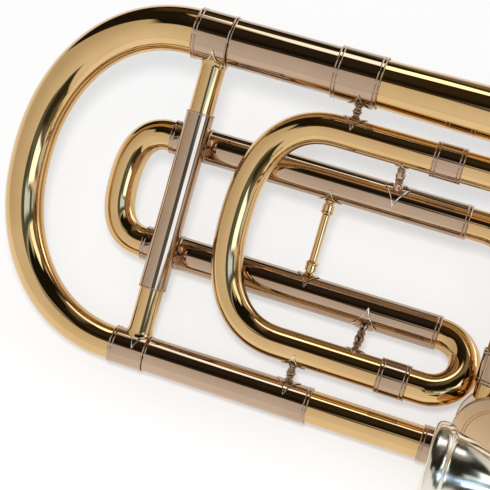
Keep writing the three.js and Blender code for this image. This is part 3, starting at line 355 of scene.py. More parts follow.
def ferrule_outline(start: float, end: float, inside: float, fit: float = 0.3, wall: float = 0.5) -> Profile:
    """Outline of a ferrule over tubes, with a pair of rings at each end.

    Args:
        start: Low end along the axis.
        end: High end.
        inside: Radius of the tubes in it.
        fit: Clearance around them.
        wall: The ferrule's wall.

    Returns:
        The closed outline.
    """
    bore = inside + fit
    radius = bore + wall
    flat = rounded([(start, radius), (end, radius), (end, bore), (start, bore)])
    low, high = ring_pair(start, radius), ring_pair(end - 2.3, radius)
    inner = [p for p in flat if p[1] < radius - 0.2 * wall]
    return low + high + inner


def tube_outline(start: float, end: float, radius: float, wall: float) -> Profile:
    """Closed outline of a plain tube with softened ends."""
    return rounded([(start, radius), (end, radius), (end, radius - wall), (start, radius - wall)])


def bow_path(seam: float, depth: float, exponent: float, low: float, high: float, z: float, lead: float,
             steps: int = 120) -> list[Vector]:
    """Centres of a bow that bulges backwards between two legs, as half a superellipse.

    Args:
        seam: Where the bow's legs start along the tubes.
        depth: How far it bulges.
        exponent: 2 for an ellipse, and more for squarer shoulders.
        low: Height of the lower leg.
        high: Height of the upper leg.
        z: Its level.
        lead: Straight run into the ferrules at both ends.
        steps: Runs around the bow.

    Returns:
        The centres from the upper end to the lower.
    """
    middle, half = (low + high) / 2, (high - low) / 2
    path = [Vector((seam + lead, high, z)), Vector((seam + 0.3 * lead, high, z))]
    for i in range(steps + 1):
        share = i / steps
        angle = math.pi * (share - math.sin(2 * math.pi * share) / (2 * math.pi) * 0.35)
        across = math.copysign(abs(math.cos(angle)) ** (2 / exponent), math.cos(angle))
        along = max(0.0, 1 - abs(across) ** exponent) ** (1 / exponent)
        path.append(Vector((seam - depth * along, middle + half * across, z)))
    return path + [Vector((seam + 0.3 * lead, low, z)), Vector((seam + lead, low, z))]


def bent_path(corners: Sequence[Vector], radius: float, steps: int = 20) -> list[Vector]:
    """Centres along straight runs with a round bend at each inner corner.

    Args:
        corners: The corners, ends included.
        radius: Radius of the bends.
        steps: Runs in each bend.

    Returns:
        The centres.
    """
    path = [corners[0].copy()]
    for before, corner, after in zip(corners, corners[1:], corners[2:]):
        back, ahead = (before - corner).normalized(), (after - corner).normalized()
        half = back.angle(ahead) / 2
        centre = corner + (back + ahead).normalized() * radius / math.sin(half)
        start = corner + back * radius / math.tan(half) - centre
        turn = start.cross(corner + ahead * radius / math.tan(half) - centre).normalized()
        sweep = math.pi - 2 * half
        for k in range(steps + 1):
            path.append(centre + Matrix.Rotation(sweep * k / steps, 3, turn) @ start)
    return path + [corners[-1].copy()]


def station_frames(centres: Sequence[Vector]) -> list[Matrix]:
    """Frames along a path whose Z runs along it, carried without twist.

    Args:
        centres: The path.

    Returns:
        One matrix for each centre.
    """
    frames = []
    normal = Vector((0.0, 0.0, 1.0))
    last = len(centres) - 1
    for i, centre in enumerate(centres):
        along = (centres[min(i + 1, last)] - centres[max(i - 1, 0)]).normalized()
        if abs(along.dot(normal)) > 0.99:
            normal = Vector((0.0, 1.0, 0.0))
        normal = (normal - along * normal.dot(along)).normalized()
        turn = Matrix((normal, along.cross(normal), along)).transposed().to_4x4()
        frames.append(Matrix.Translation(centre) @ turn)
    return frames


# Making pieces

class Workpiece:
    """One piece in the making: closed shells gathered in one mesh."""

    def __init__(self) -> None:
        """Starts with nothing."""
        self.shells = bmesh.new()

    def keep(self, part: bmesh.types.BMesh, space: Space) -> None:
        """Turns a shell's faces outwards, puts it in its place and adds it.

        Args:
            part: The shell, which is used up.
            space: Where it belongs.
        """
        bmesh.ops.remove_doubles(part, verts=part.verts, dist=0.0005)
        bmesh.ops.recalc_face_normals(part, faces=part.faces)
        bmesh.ops.transform(part, matrix=space.matrix, verts=part.verts)
        carrier = bpy.data.meshes.new("carrier")
        part.to_mesh(carrier)
        part.free()
        self.shells.from_mesh(carrier)
        bpy.data.meshes.remove(carrier)

    def turn(self, outline: Profile, space: Space, segments: int = 72,
             shape: Callable[[Vector], None] | None = None) -> "Workpiece":
        """Adds a turned shell about X.

        Args:
            outline: Points as (along, radius). It closes on itself unless it starts on the axis.
            space: Where it belongs.
            segments: Runs around the axis.
            shape: A change to each vertex before it is placed, such as knurling.

        Returns:
            This workpiece.
        """
        part = bmesh.new()
        corners = [part.verts.new((along, radius, 0.0)) for along, radius in outline]
        edges = [part.edges.new(pair) for pair in zip(corners, corners[1:])]
        if outline[0][1] > 0.0:
            edges.append(part.edges.new((corners[-1], corners[0])))
        bmesh.ops.spin(part, geom=corners + edges, cent=(0, 0, 0), axis=(1, 0, 0), angle=2 * math.pi,
                       steps=segments, use_merge=True)
        if shape is not None:
            for vertex in part.verts:
                shape(vertex.co)
        self.keep(part, space)
        return self

    def sweep(self, centres: Sequence[Vector], radii: Callable[[float], float] | float, wall: float,
              space: Space, segments: int = 48) -> "Workpiece":
        """Adds a round tube, or a solid rod, along a path.

        Args:
            centres: The path.
            radii: The outer radius, or a function of the share of the way along.
            wall: The wall, or zero for a solid rod.
            space: Where it belongs.
            segments: Runs around the tube.

        Returns:
            This workpiece.
        """
        part = bmesh.new()
        radius_at = radii if callable(radii) else (lambda _share: radii)
        frames = station_frames(centres)
        last = len(frames) - 1
        ends: tuple[list, list] = ([], [])
        for inset in ((0.0, wall) if wall > 0 else (0.0,)):
            sizes = [radius_at(i / last) - inset for i in range(last + 1)]
            ring = bmesh.ops.create_circle(part, segments=segments, radius=sizes[0], matrix=frames[0])
            vertices = set(ring["verts"])
            edges = [e for e in part.edges if e.verts[0] in vertices and e.verts[1] in vertices]
            ends[0].extend(edges)
            for i in range(last):
                grown = bmesh.ops.extrude_edge_only(part, edges=edges)["geom"]
                moved = [g for g in grown if isinstance(g, bmesh.types.BMVert)]
                edges = [g for g in grown if isinstance(g, bmesh.types.BMEdge)]
                step = (frames[i + 1] @ Matrix.Scale(sizes[i + 1] / sizes[i], 4)
                        @ frames[i].inverted())
                bmesh.ops.transform(part, matrix=step, verts=moved)
            ends[1].extend(edges)
        for edges in ends:
            if wall > 0:
                bmesh.ops.bridge_loops(part, edges=edges)
            else:
                bmesh.ops.edgeloop_fill(part, edges=edges)
        self.keep(part, space)
        return self

    def flange(self, space: Space, radius: float, length: float, around: float,
               solder: "Workpiece | None" = None, thickness: float = 0.2, hollow: float = 1.5,
               wire: float = 0.27) -> "Workpiece":
        """Adds a thin pointed flange with a fine line of solder around it, wrapped on a tube about X.

        Args:
            space: The tube's space, centred under the flange, whose +Y points to its foot.
            radius: The tube's radius, with its clearance.
            length: From point to point along the tube.
            around: From point to point around it.
            solder: The workpiece of the solder, if it shows as another metal.
            thickness: The sheet.
            hollow: 1 for straight edges, and more for hollow ones.
            wire: Radius of the line of solder.

        Returns:
            This workpiece.
        """
        part = bmesh.new()
        bmesh.ops.create_grid(part, x_segments=24, y_segments=24, size=1.0)
        for vertex in part.verts:
            across, share = vertex.co.x, vertex.co.y
            reach = length / 2 * (1 - abs(share)) ** hollow + 0.05
            angle = share * around / 2 / radius
            vertex.co = (across * reach, radius * math.cos(angle), radius * math.sin(angle))
        grown = bmesh.ops.extrude_face_region(part, geom=part.faces[:])["geom"]
        for vertex in (g for g in grown if isinstance(g, bmesh.types.BMVert)):
            vertex.co.yz = vertex.co.yz * (1 + thickness / radius)
        self.keep(part, space)
        lifted = radius + thickness - 0.04
        for side in (-1, 1):
            path = []
            for k in range(41):
                share = -1 + k / 20
                angle = share * around / 2 / radius
                reach = length / 2 * (1 - abs(share)) ** hollow + 0.05
                path.append(Vector((side * reach, lifted * math.cos(angle), lifted * math.sin(angle))))
            (solder or self).sweep(path, wire, 0.0, space, 8)
        return self

    def bar(self, space: Space, size: tuple[float, float, float], bevel: float = 0.4) -> "Workpiece":
        """Adds a bar with softened edges, centred on the space's origin.

        Args:
            space: Where it belongs.
            size: Its lengths along X, Y and Z.
            bevel: Width of the softened edges.

        Returns:
            This workpiece.
        """
        part = bmesh.new()
        bmesh.ops.create_cube(part, size=1.0)
        bmesh.ops.scale(part, vec=size, verts=part.verts)
        bmesh.ops.bevel(part, geom=part.edges[:], offset=bevel, offset_type="OFFSET", affect="EDGES",
                        segments=3, profile=0.5, material=-1)
        self.keep(part, space)
        return self

    def coil(self, space: Space, turns: int, radius: float, wire: float, length: float,
             tails: tuple[float, float] = (0.0, 0.0), steps: int = 36) -> "Workpiece":
        """Adds a wound spring about X.

        Args:
            space: Where it belongs.
            turns: Its turns.
            radius: Radius to the wire's centre.
            wire: Radius of the wire.
            length: Length from end to end.
            tails: Lengths of straight wire at its start and end, along its tangent.
            steps: Runs in each turn.

        Returns:
            This workpiece.
        """
        path = []
        for i in range(turns * steps + 1):
            angle = 2 * math.pi * i / steps
            path.append(Vector((length * i / (turns * steps), radius * math.cos(angle),
                                radius * math.sin(angle))))
        if tails[0] > 0:
            path.insert(0, path[0] - Vector((0, 0, tails[0])))
        if tails[1] > 0:
            path.append(path[-1] + Vector((0, 0, tails[1])))
        return self.sweep(path, wire, 0.0, space, 12)

    def disc(self, space: Space, low: float, high: float, radius: float, hole: float = 0.0,
             soft: float = 0.35) -> "Workpiece":
        """Adds a disc or a ring about Z with softened edges.

        Args:
            space: Where it belongs.
            low: Its lower face.
            high: Its upper face.
            radius: Its radius.
            hole: Radius of its hole, or zero.
            soft: Reach of the softened edges.

        Returns:
            This workpiece.
        """
        corners = [(low, hole), (low, radius), (high, radius), (high, hole)]
        outline = rounded(corners, soft, closed=hole > 0.0)
        return self.turn(outline, space.upright(), 56)

    def finished(self, name: str, body: str, slot: Slot, *nodes: str) -> bpy.types.Object:
        """Makes the object, dresses it and lets it stand for its CAD nodes.

        Args:
            name: The piece's name.
            body: The CAD body that it rides on.
            slot: The record's material slot and so its finish.
            *nodes: The CAD nodes that it replaces.

        Returns:
            The new object.
        """
        mesh = bpy.data.meshes.new(name)
        self.shells.to_mesh(mesh)
        self.shells.free()
        mesh.polygons.foreach_set("use_smooth", [True] * len(mesh.polygons))
        mesh.set_sharp_from_angle(angle=math.radians(42.0))
        mesh.materials.append(MATERIALS[slot])
        piece = bpy.data.objects.new(name, mesh)
        bpy.context.scene.collection.objects.link(piece)
        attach(piece, body)
        if nodes:
            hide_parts(*nodes)
        LOG.info("%s: %d faces on %s", name, len(mesh.polygons), body)
        return piece


MATERIALS = {slot: finish.build() for slot, finish in FINISHES.items()}


def dress_node(node: str, slot: Slot) -> None:
    """Gives a CAD node that stays its finish.

    Args:
        node: The node's name.
        slot: Its finish.
    """
    piece = frame["nodes"][node]
    piece.data.materials.clear()
    piece.data.materials.append(MATERIALS[slot])
    LOG.info("%s: CAD node with %s", node, slot.value)


def brace(piece: Workpiece, space: Space, low: Vector, high: Vector, radii: tuple[float, float],
          stem: Profile, flange: tuple[float, float], segments: int = 48,
          plates: Workpiece | None = None, solder: Workpiece | None = None) -> None:
    """Adds a brace between two tubes along X: a turned stem, coped to both, with pointed flanges.

    Args:
        piece: The workpiece.
        space: The instrument's space.
        low: Centre of the lower tube under the brace.
        high: Centre of the upper tube.
        radii: Radii of the two tubes.
        stem: Outline as (share of the free length, radius).
        flange: Length of the flanges along the tubes, and around them.
        segments: Runs around the stem.
        plates: The workpiece of the flanges, if they are another metal.
        solder: The workpiece of the solder around them, if it shows as another metal.
    """
    standing = space.between(low, high)
    span = (high - low).length
    bases = (radii[0] + TUBES.fit, radii[1] + TUBES.fit)
    start, end = bases[0] - 0.1, span - bases[1] + 0.1
    outline = [(start, 0.0)] + [(start + (end - start) * share, radius) for share, radius in stem]

    def coped(corner: Vector) -> None:
        """Lets the stem's ends follow the tubes that they stand on."""
        share = (corner.x - start) / (end - start)
        low_drop, high_drop = (base - math.sqrt(max(base * base - corner.z ** 2, 0.0)) for base in bases)
        corner.x += high_drop * max(0.0, share * 4 - 3) - low_drop * max(0.0, 1 - share * 4)

    piece.turn(rounded(outline + [(end, 0.0)], closed=False), standing.crosswise(), segments, coped)
    sheets = plates or piece
    sheets.flange(standing, bases[0], *flange, solder)
    sheets.flange(standing.moved(y=span).turned(180.0, "X"), bases[1], *flange, solder)


@dataclass
class TubeSizes:
    """Sizes that several sub-assemblies share."""

    fit: float = 0.3
    wall: float = 0.6
    bell_axis: float = 155.0
    high_receiver: float = 11.55
    low_receiver: float = 8.6
    low_leg: float = 8.0
    f_tube: float = 7.7
    f_receiver: float = 8.5
    f_low: float = 49.0
    f_high: float = 103.5
    f_level: float = -20.0
    loop_low: float = 24.5
    loop_high: float = 128.5
    valve_x: float = 185.6
    valve_y: float = 14.6
    slide_spacing: float = 88.0
    ferrule_rise: float = 0.8


def slide_leg_outline(seam: float, ferrule: float, bow: float, leg: float, wall: float,
                      length: float, seat: float = 8.5, ring: float = 0.3) -> Profile:
    """Outline of a tuning slide's leg with the ferrule that takes the end of its bow.

    Args:
        seam: Where the ferrule starts.
        ferrule: The ferrule's length.
        bow: Radius of the bow's end.
        leg: Radius of the leg.
        wall: The leg's wall.
        length: Length of the leg beyond the ferrule.
        seat: Depth of the bow in the ferrule.
        ring: Height of its rings.

    Returns:
        The closed outline.
    """
    radius = bow + TUBES.ferrule_rise
    bore = bow + TUBES.fit
    shoulder = seam + ferrule
    floor = seam + seat + TUBES.fit
    plain = rounded([
        (shoulder, radius), (shoulder, leg), (shoulder + length, leg),
        (shoulder + length, leg - wall), (floor, leg - wall), (floor, bore), (seam, bore)], closed=False)
    return (ring_pair(seam, radius, height=ring) + bead(shoulder - 0.75, radius, height=ring)
            + plain)


TUBES = TubeSizes()


# Sub-assemblies

@dataclass
class MainTuningSlide:
    """The large bow behind the player's shoulder, with its ferrules, legs and brace."""

    bow_depth: float = 64.5
    exponent: float = 2.12
    high_radius: float = 11.3
    low_radius: float = 8.2
    seat: float = 8.5
    ferrule: float = 17.8
    leg_length: float = 56.0
    brace_x: float = 11.7
    brace_radius: float = 5.95
    sleeve_low: float = 31.5
    sleeve_high: float = 119.0
    flange: tuple[float, float] = (12.5, 25.0)

    def build(self, space: Space) -> None:
        """Builds its pieces in the bell section's space."""
        body = "tuning_slide"
        path = bow_path(0.0, self.bow_depth, self.exponent, 0.0, TUBES.bell_axis, 0.0, self.seat)
        Workpiece().sweep(
            path, lambda share: self.high_radius + (self.low_radius - self.high_radius) * share,
            TUBES.wall, space, 64).finished("main_tuning_bow", body, Slot.BRASS, "tuning_bow")
        for name, node, bow, receiver, y in (
                ("main_slide_leg_upper", "tuning_leg_upper", self.high_radius, TUBES.high_receiver,
                 TUBES.bell_axis),
                ("main_slide_leg_lower", "tuning_leg_lower", self.low_radius, TUBES.low_receiver, 0.0)):
            leg = receiver - TUBES.wall - TUBES.fit
            outline = slide_leg_outline(0.0, self.ferrule, bow, leg, TUBES.wall, self.leg_length)
            Workpiece().turn(outline, space.moved(y=y)).finished(name, body, Slot.NICKEL, node)
        self.build_brace(space, body)

    def build_brace(self, space: Space, body: str) -> None:
        """Builds the brace between the ferrules and the sleeve on it."""
        foot = self.brace_radius
        stem = [(0.0, foot + 0.6), (0.006, foot + 0.5), (0.012, foot + 0.15), (0.018, foot),
                (0.982, foot), (0.988, foot + 0.15), (0.994, foot + 0.5), (1.0, foot + 0.6)]
        piece, plates, solder = Workpiece(), Workpiece(), Workpiece()
        brace(piece, space, Vector((self.brace_x, 0, 0)), Vector((self.brace_x, TUBES.bell_axis, 0)),
              (self.low_radius + TUBES.ferrule_rise, self.high_radius + TUBES.ferrule_rise), stem,
              self.flange, plates=plates, solder=solder)
        piece.finished("main_slide_brace", body, Slot.BRASS, "tuning_brace")
        plates.finished("main_slide_brace_flanges", body, Slot.NICKEL)
        solder.finished("main_slide_brace_solder", body, Slot.SILVER)
        bore = self.brace_radius + TUBES.fit
        radius = bore + 0.5
        outline = rounded([
            (self.sleeve_low, radius + 0.2), (self.sleeve_low + 0.7, radius + 0.2),
            (self.sleeve_low + 0.9, radius), (self.sleeve_high - 0.9, radius),
            (self.sleeve_high - 0.7, radius + 0.2), (self.sleeve_high, radius + 0.2),
            (self.sleeve_high, bore), (self.sleeve_low, bore)])
        Workpiece().turn(outline, space.moved(x=self.brace_x).crosswise()).finished(
            "main_slide_brace_sleeve", body, Slot.NICKEL, "tuning_brace_sleeve")


def receiver_outline(start: float, end: float, radius: float, wall: float, socket: float,
                     seat: float = 8.0) -> Profile:
    """Outline of a receiver with a ring pair at each end and a socket for the next tube.

    Args:
        start: Low end, where the slide's leg goes in.
        end: High end.
        radius: Its outer radius.
        wall: Its wall.
        socket: Radius of the tube that follows it.
        seat: Depth of the socket.

    Returns:
        The closed outline.
    """
    bore = socket + TUBES.fit
    collar = max(bore + 0.5, radius)
    inner = rounded([(end, collar), (end, bore), (end - seat + 1.3, bore),
                     (end - seat + 1.3, radius - wall), (start, radius - wall)], closed=False)
    return bead(start, radius) + ring_pair(end - 2.3, collar) + inner[1:]


@dataclass
class BellSection:
    """Receivers of the main slide, the bell with its ferrule, and the lower leg."""

    receiver_start: float = 18.1
    high_end: float = 77.0
    low_end: float = 100.5
    ferrule: tuple[float, float] = (69.2, 91.5)
    leg_start: float = 94.1
    leg_end: float = 159.6
    leg_ferrule: tuple[float, float] = (154.8, 163.6)
    tail: float = 80.0
    tail_radius: float = 11.5
    rim_x: float = 575.0
    rim_radius: float = 108.0
    flare: float = 0.7
    bell_wall: float = 0.7
    bead: float = 1.6
    stations: int = 110

    def radius_at(self, x: float) -> float:
        """Radius of the bell's outer wall at a place along it."""
        grow = (self.rim_radius / self.tail_radius) ** (1 / self.flare)
        lead = (self.rim_x - self.ferrule[1]) / (grow - 1)
        away = lead + self.rim_x - max(x, self.ferrule[1])
        return self.rim_radius * (lead / away) ** self.flare

    def build(self, space: Space) -> None:
        """Builds its pieces in the bell section's space."""
        body = "bell_section"
        bell_axis = space.moved(y=TUBES.bell_axis)
        high = TUBES.high_receiver
        outline = (bead(self.receiver_start, high)
                   + rounded([(self.receiver_start + 1.4, high), (self.high_end, high),
                              (self.high_end, high - TUBES.wall),
                              (self.receiver_start, high - TUBES.wall)], closed=False))
        Workpiece().turn(outline, bell_axis).finished(
            "upper_slide_receiver", body, Slot.NICKEL, "upper_receiver")
        Workpiece().turn(ferrule_outline(*self.ferrule, high), bell_axis).finished(
            "bell_tail_ferrule", body, Slot.NICKEL, "bell_ferrule")
        Workpiece().turn(
            receiver_outline(self.receiver_start, self.low_end, TUBES.low_receiver, TUBES.wall,
                             TUBES.low_leg), space).finished(
            "lower_slide_receiver", body, Slot.NICKEL, "lower_receiver")
        Workpiece().turn(tube_outline(self.leg_start, self.leg_end, TUBES.low_leg, TUBES.wall),
                         space).finished("lower_leg_tube", body, Slot.BRASS, "lower_leg")
        Workpiece().turn(ferrule_outline(*self.leg_ferrule, TUBES.low_leg), space).finished(
            "lower_leg_end_ferrule", body, Slot.NICKEL, "lower_leg_ferrule")
        self.build_bell(bell_axis, body)

    def build_bell(self, axis: Space, body: str) -> None:
        """Builds the bell as one thin wall with a rolled bead at its rim."""
        places = [self.tail, self.tail + 4.0] + [
            self.rim_x - (self.rim_x - self.ferrule[1]) * (1 - i / self.stations) ** 2.0
            for i in range(self.stations + 1)]
        outer = [(x, self.radius_at(x)) for x in places]
        inner = [(x, radius - self.bell_wall) for x, radius in reversed(outer)]
        bead = []
        for k in range(15):
            angle = math.radians(165.0 - 330.0 * k / 14)
            bead.append((self.rim_x + self.bead + self.bead * math.cos(angle),
                         self.rim_radius + self.bead * math.sin(angle)))
        Workpiece().turn(outer[:-1] + bead + inner[1:], axis, 128).finished(
            "bell_flare", body, Slot.BRASS, "bell")


@dataclass
class FTuningSlide:
    """The small tuning slide of the F attachment."""

    seam: float = -3.0
    depth: float = 18.8
    exponent: float = 2.5
    seat: float = 8.5
    ferrule: float = 18.0
    leg_length: float = 58.0
    wall: float = 0.55

    def build(self, space: Space) -> None:
        """Builds its pieces in the bell section's space."""
        body = "f_slide"
        path = bow_path(self.seam, self.depth, self.exponent, TUBES.f_low, TUBES.f_high,
                        TUBES.f_level, self.seat)
        Workpiece().sweep(path, TUBES.f_tube, self.wall, space).finished(
            "f_tuning_bow", body, Slot.BRASS, "f_slide_bow")
        leg = TUBES.f_receiver - self.wall - TUBES.fit
        outline = slide_leg_outline(self.seam, self.ferrule, TUBES.f_tube, leg, self.wall,
                                    self.leg_length, ring=0.1)
        for name, node, y in (("f_leg_upper", "f_slide_leg_upper", TUBES.f_high),
                              ("f_leg_lower", "f_slide_leg_lower", TUBES.f_low)):
            Workpiece().turn(outline, space.moved(y=y, z=TUBES.f_level)).finished(
                name, body, Slot.NICKEL, node)


@dataclass
class FWrap:
    """The F attachment's fixed tubing: receivers, loop, crossover, feed and return."""

    receiver_start: float = 15.3
    high_end: float = 147.0
    low_end: float = 148.2
    wall: float = 0.55
    loop_x: float = 79.0
    loop_depth: float = 37.5
    loop_exponent: float = 2.4
    high_ferrule: float = 123.7
    low_ferrule: float = 127.3
    ferrule_length: float = 14.4
    crossover_x: float = 148.4
    feed_x: float = 208.0
    feed_y: float = 42.0
    feed_bend: float = 28.0
    return_x: float = 179.4
    return_y: float = 44.0
    return_bend: float = 25.0
    knuckle: float = 8.0
    return_ferrule: float = 16.0
    socket: float = 8.0

    def build(self, space: Space) -> None:
        """Builds its pieces in the bell section's space."""
        body = "bell_section"
        for name, node, y, end in (
                ("f_upper_slide_receiver", "f_receiver_upper", TUBES.f_high, self.high_end),
                ("f_lower_slide_receiver", "f_receiver_lower", TUBES.f_low, self.low_end)):
            outline = receiver_outline(self.receiver_start, end, TUBES.f_receiver, self.wall, TUBES.f_tube)
            Workpiece().turn(outline, space.moved(y=y, z=TUBES.f_level)).finished(
                name, body, Slot.NICKEL, node)
        high_end = self.high_ferrule + self.ferrule_length / 2
        low_end = self.low_ferrule + self.ferrule_length / 2
        loop = bow_path(self.loop_x, self.loop_depth, self.loop_exponent, TUBES.loop_low,
                        TUBES.loop_high, 0.0, 6.0)
        loop[0].x, loop[-1].x = high_end - TUBES.fit, low_end - TUBES.fit
        Workpiece().sweep(loop, TUBES.f_tube, self.wall, space).finished(
            "f_loop_tube", body, Slot.BRASS, "f_loop")
        for name, node, start, y in (
                ("loop_upper_ferrule", "loop_ferrule_upper", self.high_ferrule, TUBES.loop_high),
                ("loop_lower_ferrule", "loop_ferrule_lower", self.low_ferrule, TUBES.loop_low)):
            Workpiece().turn(ferrule_outline(start, start + self.ferrule_length, TUBES.f_tube),
                             space.moved(y=y)).finished(name, body, Slot.NICKEL, node)
        self.build_bends(space, body, high_end, low_end)

    def build_bends(self, space: Space, body: str, high_end: float, low_end: float) -> None:
        """Builds the crossover, the feed tube and the return tube."""
        low = Vector((self.crossover_x, TUBES.loop_low, 0))
        high = Vector((self.crossover_x, TUBES.f_low, TUBES.f_level))
        middle = (low + high) / 2
        arm = low - middle
        path = [Vector((low_end + TUBES.fit, TUBES.loop_low, 0)), low - Vector((4, 0, 0))]
        for i in range(41):
            angle = math.pi * i / 40
            path.append(middle + arm * math.cos(angle)
                        + Vector((arm.length * math.sin(angle), 0, 0)))
        path += [high - Vector((2, 0, 0)), Vector((self.low_end - 6.4, TUBES.f_low, TUBES.f_level))]
        Workpiece().sweep(path, TUBES.f_tube, self.wall, space).finished(
            "f_crossover_tube", body, Slot.BRASS, "f_crossover_bend")
        feed = bent_path([Vector((self.feed_x, self.feed_y - self.socket + TUBES.fit, 0)),
                          Vector((self.feed_x, TUBES.loop_high, 0)),
                          Vector((high_end + TUBES.fit, TUBES.loop_high, 0))], self.feed_bend, 40)
        Workpiece().sweep(feed, TUBES.f_tube, self.wall, space).finished(
            "f_feed_bend", body, Slot.BRASS, "f_feed_tube")
        back = bent_path([
            Vector((self.return_x, self.return_y + TUBES.fit, 0)),
            Vector((self.return_x, TUBES.f_high - 2 * self.return_bend, 0)),
            Vector((self.return_x, TUBES.f_high, TUBES.f_level)),
            Vector((self.high_end - 6.4, TUBES.f_high, TUBES.f_level))], self.return_bend, 28)
        Workpiece().sweep(back, TUBES.f_tube, self.wall, space).finished(
            "f_return_bend", body, Slot.BRASS, "f_return_tube")
        start = self.return_y - self.return_ferrule / 2 - TUBES.fit
        Workpiece().turn(ferrule_outline(start, start + self.return_ferrule, self.knuckle),
                         space.moved(x=self.return_x).crosswise()).finished(
            "f_return_joint_ferrule", body, Slot.NICKEL, "f_return_ferrule")


@dataclass
class SmallBraces:
    """The turned posts that hold the wrap together."""

    post: Profile = field(default_factory=lambda: [
        (0.0, 2.5), (0.07, 2.35), (0.13, 1.75), (0.2, 1.5), (0.24, 1.5), (0.26, 2.1), (0.31, 2.1),
        (0.33, 1.55), (0.38, 1.9), (0.44, 2.3), (0.5, 2.45), (0.56, 2.3), (0.62, 1.9), (0.67, 1.55),
        (0.69, 2.1), (0.74, 2.1), (0.76, 1.5), (0.8, 1.5), (0.87, 1.75), (0.93, 2.35), (1.0, 2.5)])
    collared: Profile = field(default_factory=lambda: [
        (0.0, 2.8), (0.02, 2.6), (0.035, 2.15), (0.05, 2.15), (0.055, 2.9), (0.14, 2.9), (0.15, 3.1),
        (0.165, 3.1), (0.175, 2.6), (0.19, 2.0), (0.81, 2.0), (0.825, 2.6), (0.835, 3.1), (0.85, 3.1),
        (0.86, 2.9), (0.945, 2.9), (0.95, 2.15), (0.965, 2.15), (0.98, 2.6), (1.0, 2.8)])
    flange: tuple[float, float] = (11.8, 21.0)

    def build(self, space: Space) -> None:
        """Builds the five braces in the bell section's space."""
        loop, f_pipe, low_pipe = TUBES.f_tube, TUBES.f_receiver, TUBES.low_receiver
        bell = TUBES.high_receiver + TUBES.ferrule_rise
        rows = (
            ("bell_to_loop_post", "bell_to_loop_brace", 83.5, (TUBES.loop_high, 0.0, loop),
             (TUBES.bell_axis, 0.0, bell), self.post, Slot.NICKEL),
            ("upper_loop_to_f_post", "loop_to_f_brace_upper", 110.3, (TUBES.f_high, TUBES.f_level, f_pipe),
             (TUBES.loop_high, 0.0, loop), self.post, Slot.NICKEL),
            ("f_receiver_rod", "f_receiver_brace", 80.3, (TUBES.f_low, TUBES.f_level, f_pipe),
             (TUBES.f_high, TUBES.f_level, f_pipe), self.collared, Slot.BRASS),
            ("lower_loop_to_f_post", "loop_to_f_brace_lower", 113.3, (TUBES.loop_low, 0.0, loop),
             (TUBES.f_low, TUBES.f_level, f_pipe), self.post, Slot.NICKEL),
            ("lower_leg_post", "lower_leg_brace", 87.7, (0.0, 0.0, low_pipe),
             (TUBES.loop_low, 0.0, loop), self.post, Slot.NICKEL))
        solder = Workpiece()
        for name, node, x, low, high, stem, slot in rows:
            piece, plates = Workpiece(), Workpiece()
            brace(piece, space, Vector((x, low[0], low[1])), Vector((x, high[0], high[1])),
                  (low[2], high[2]), stem, self.flange, 32, plates, solder)
            piece.finished(name, "bell_section", slot, node)
            plates.finished(f"{name}_flanges", "bell_section", Slot.NICKEL)
        solder.finished("post_flange_solder", "bell_section", Slot.SILVER)


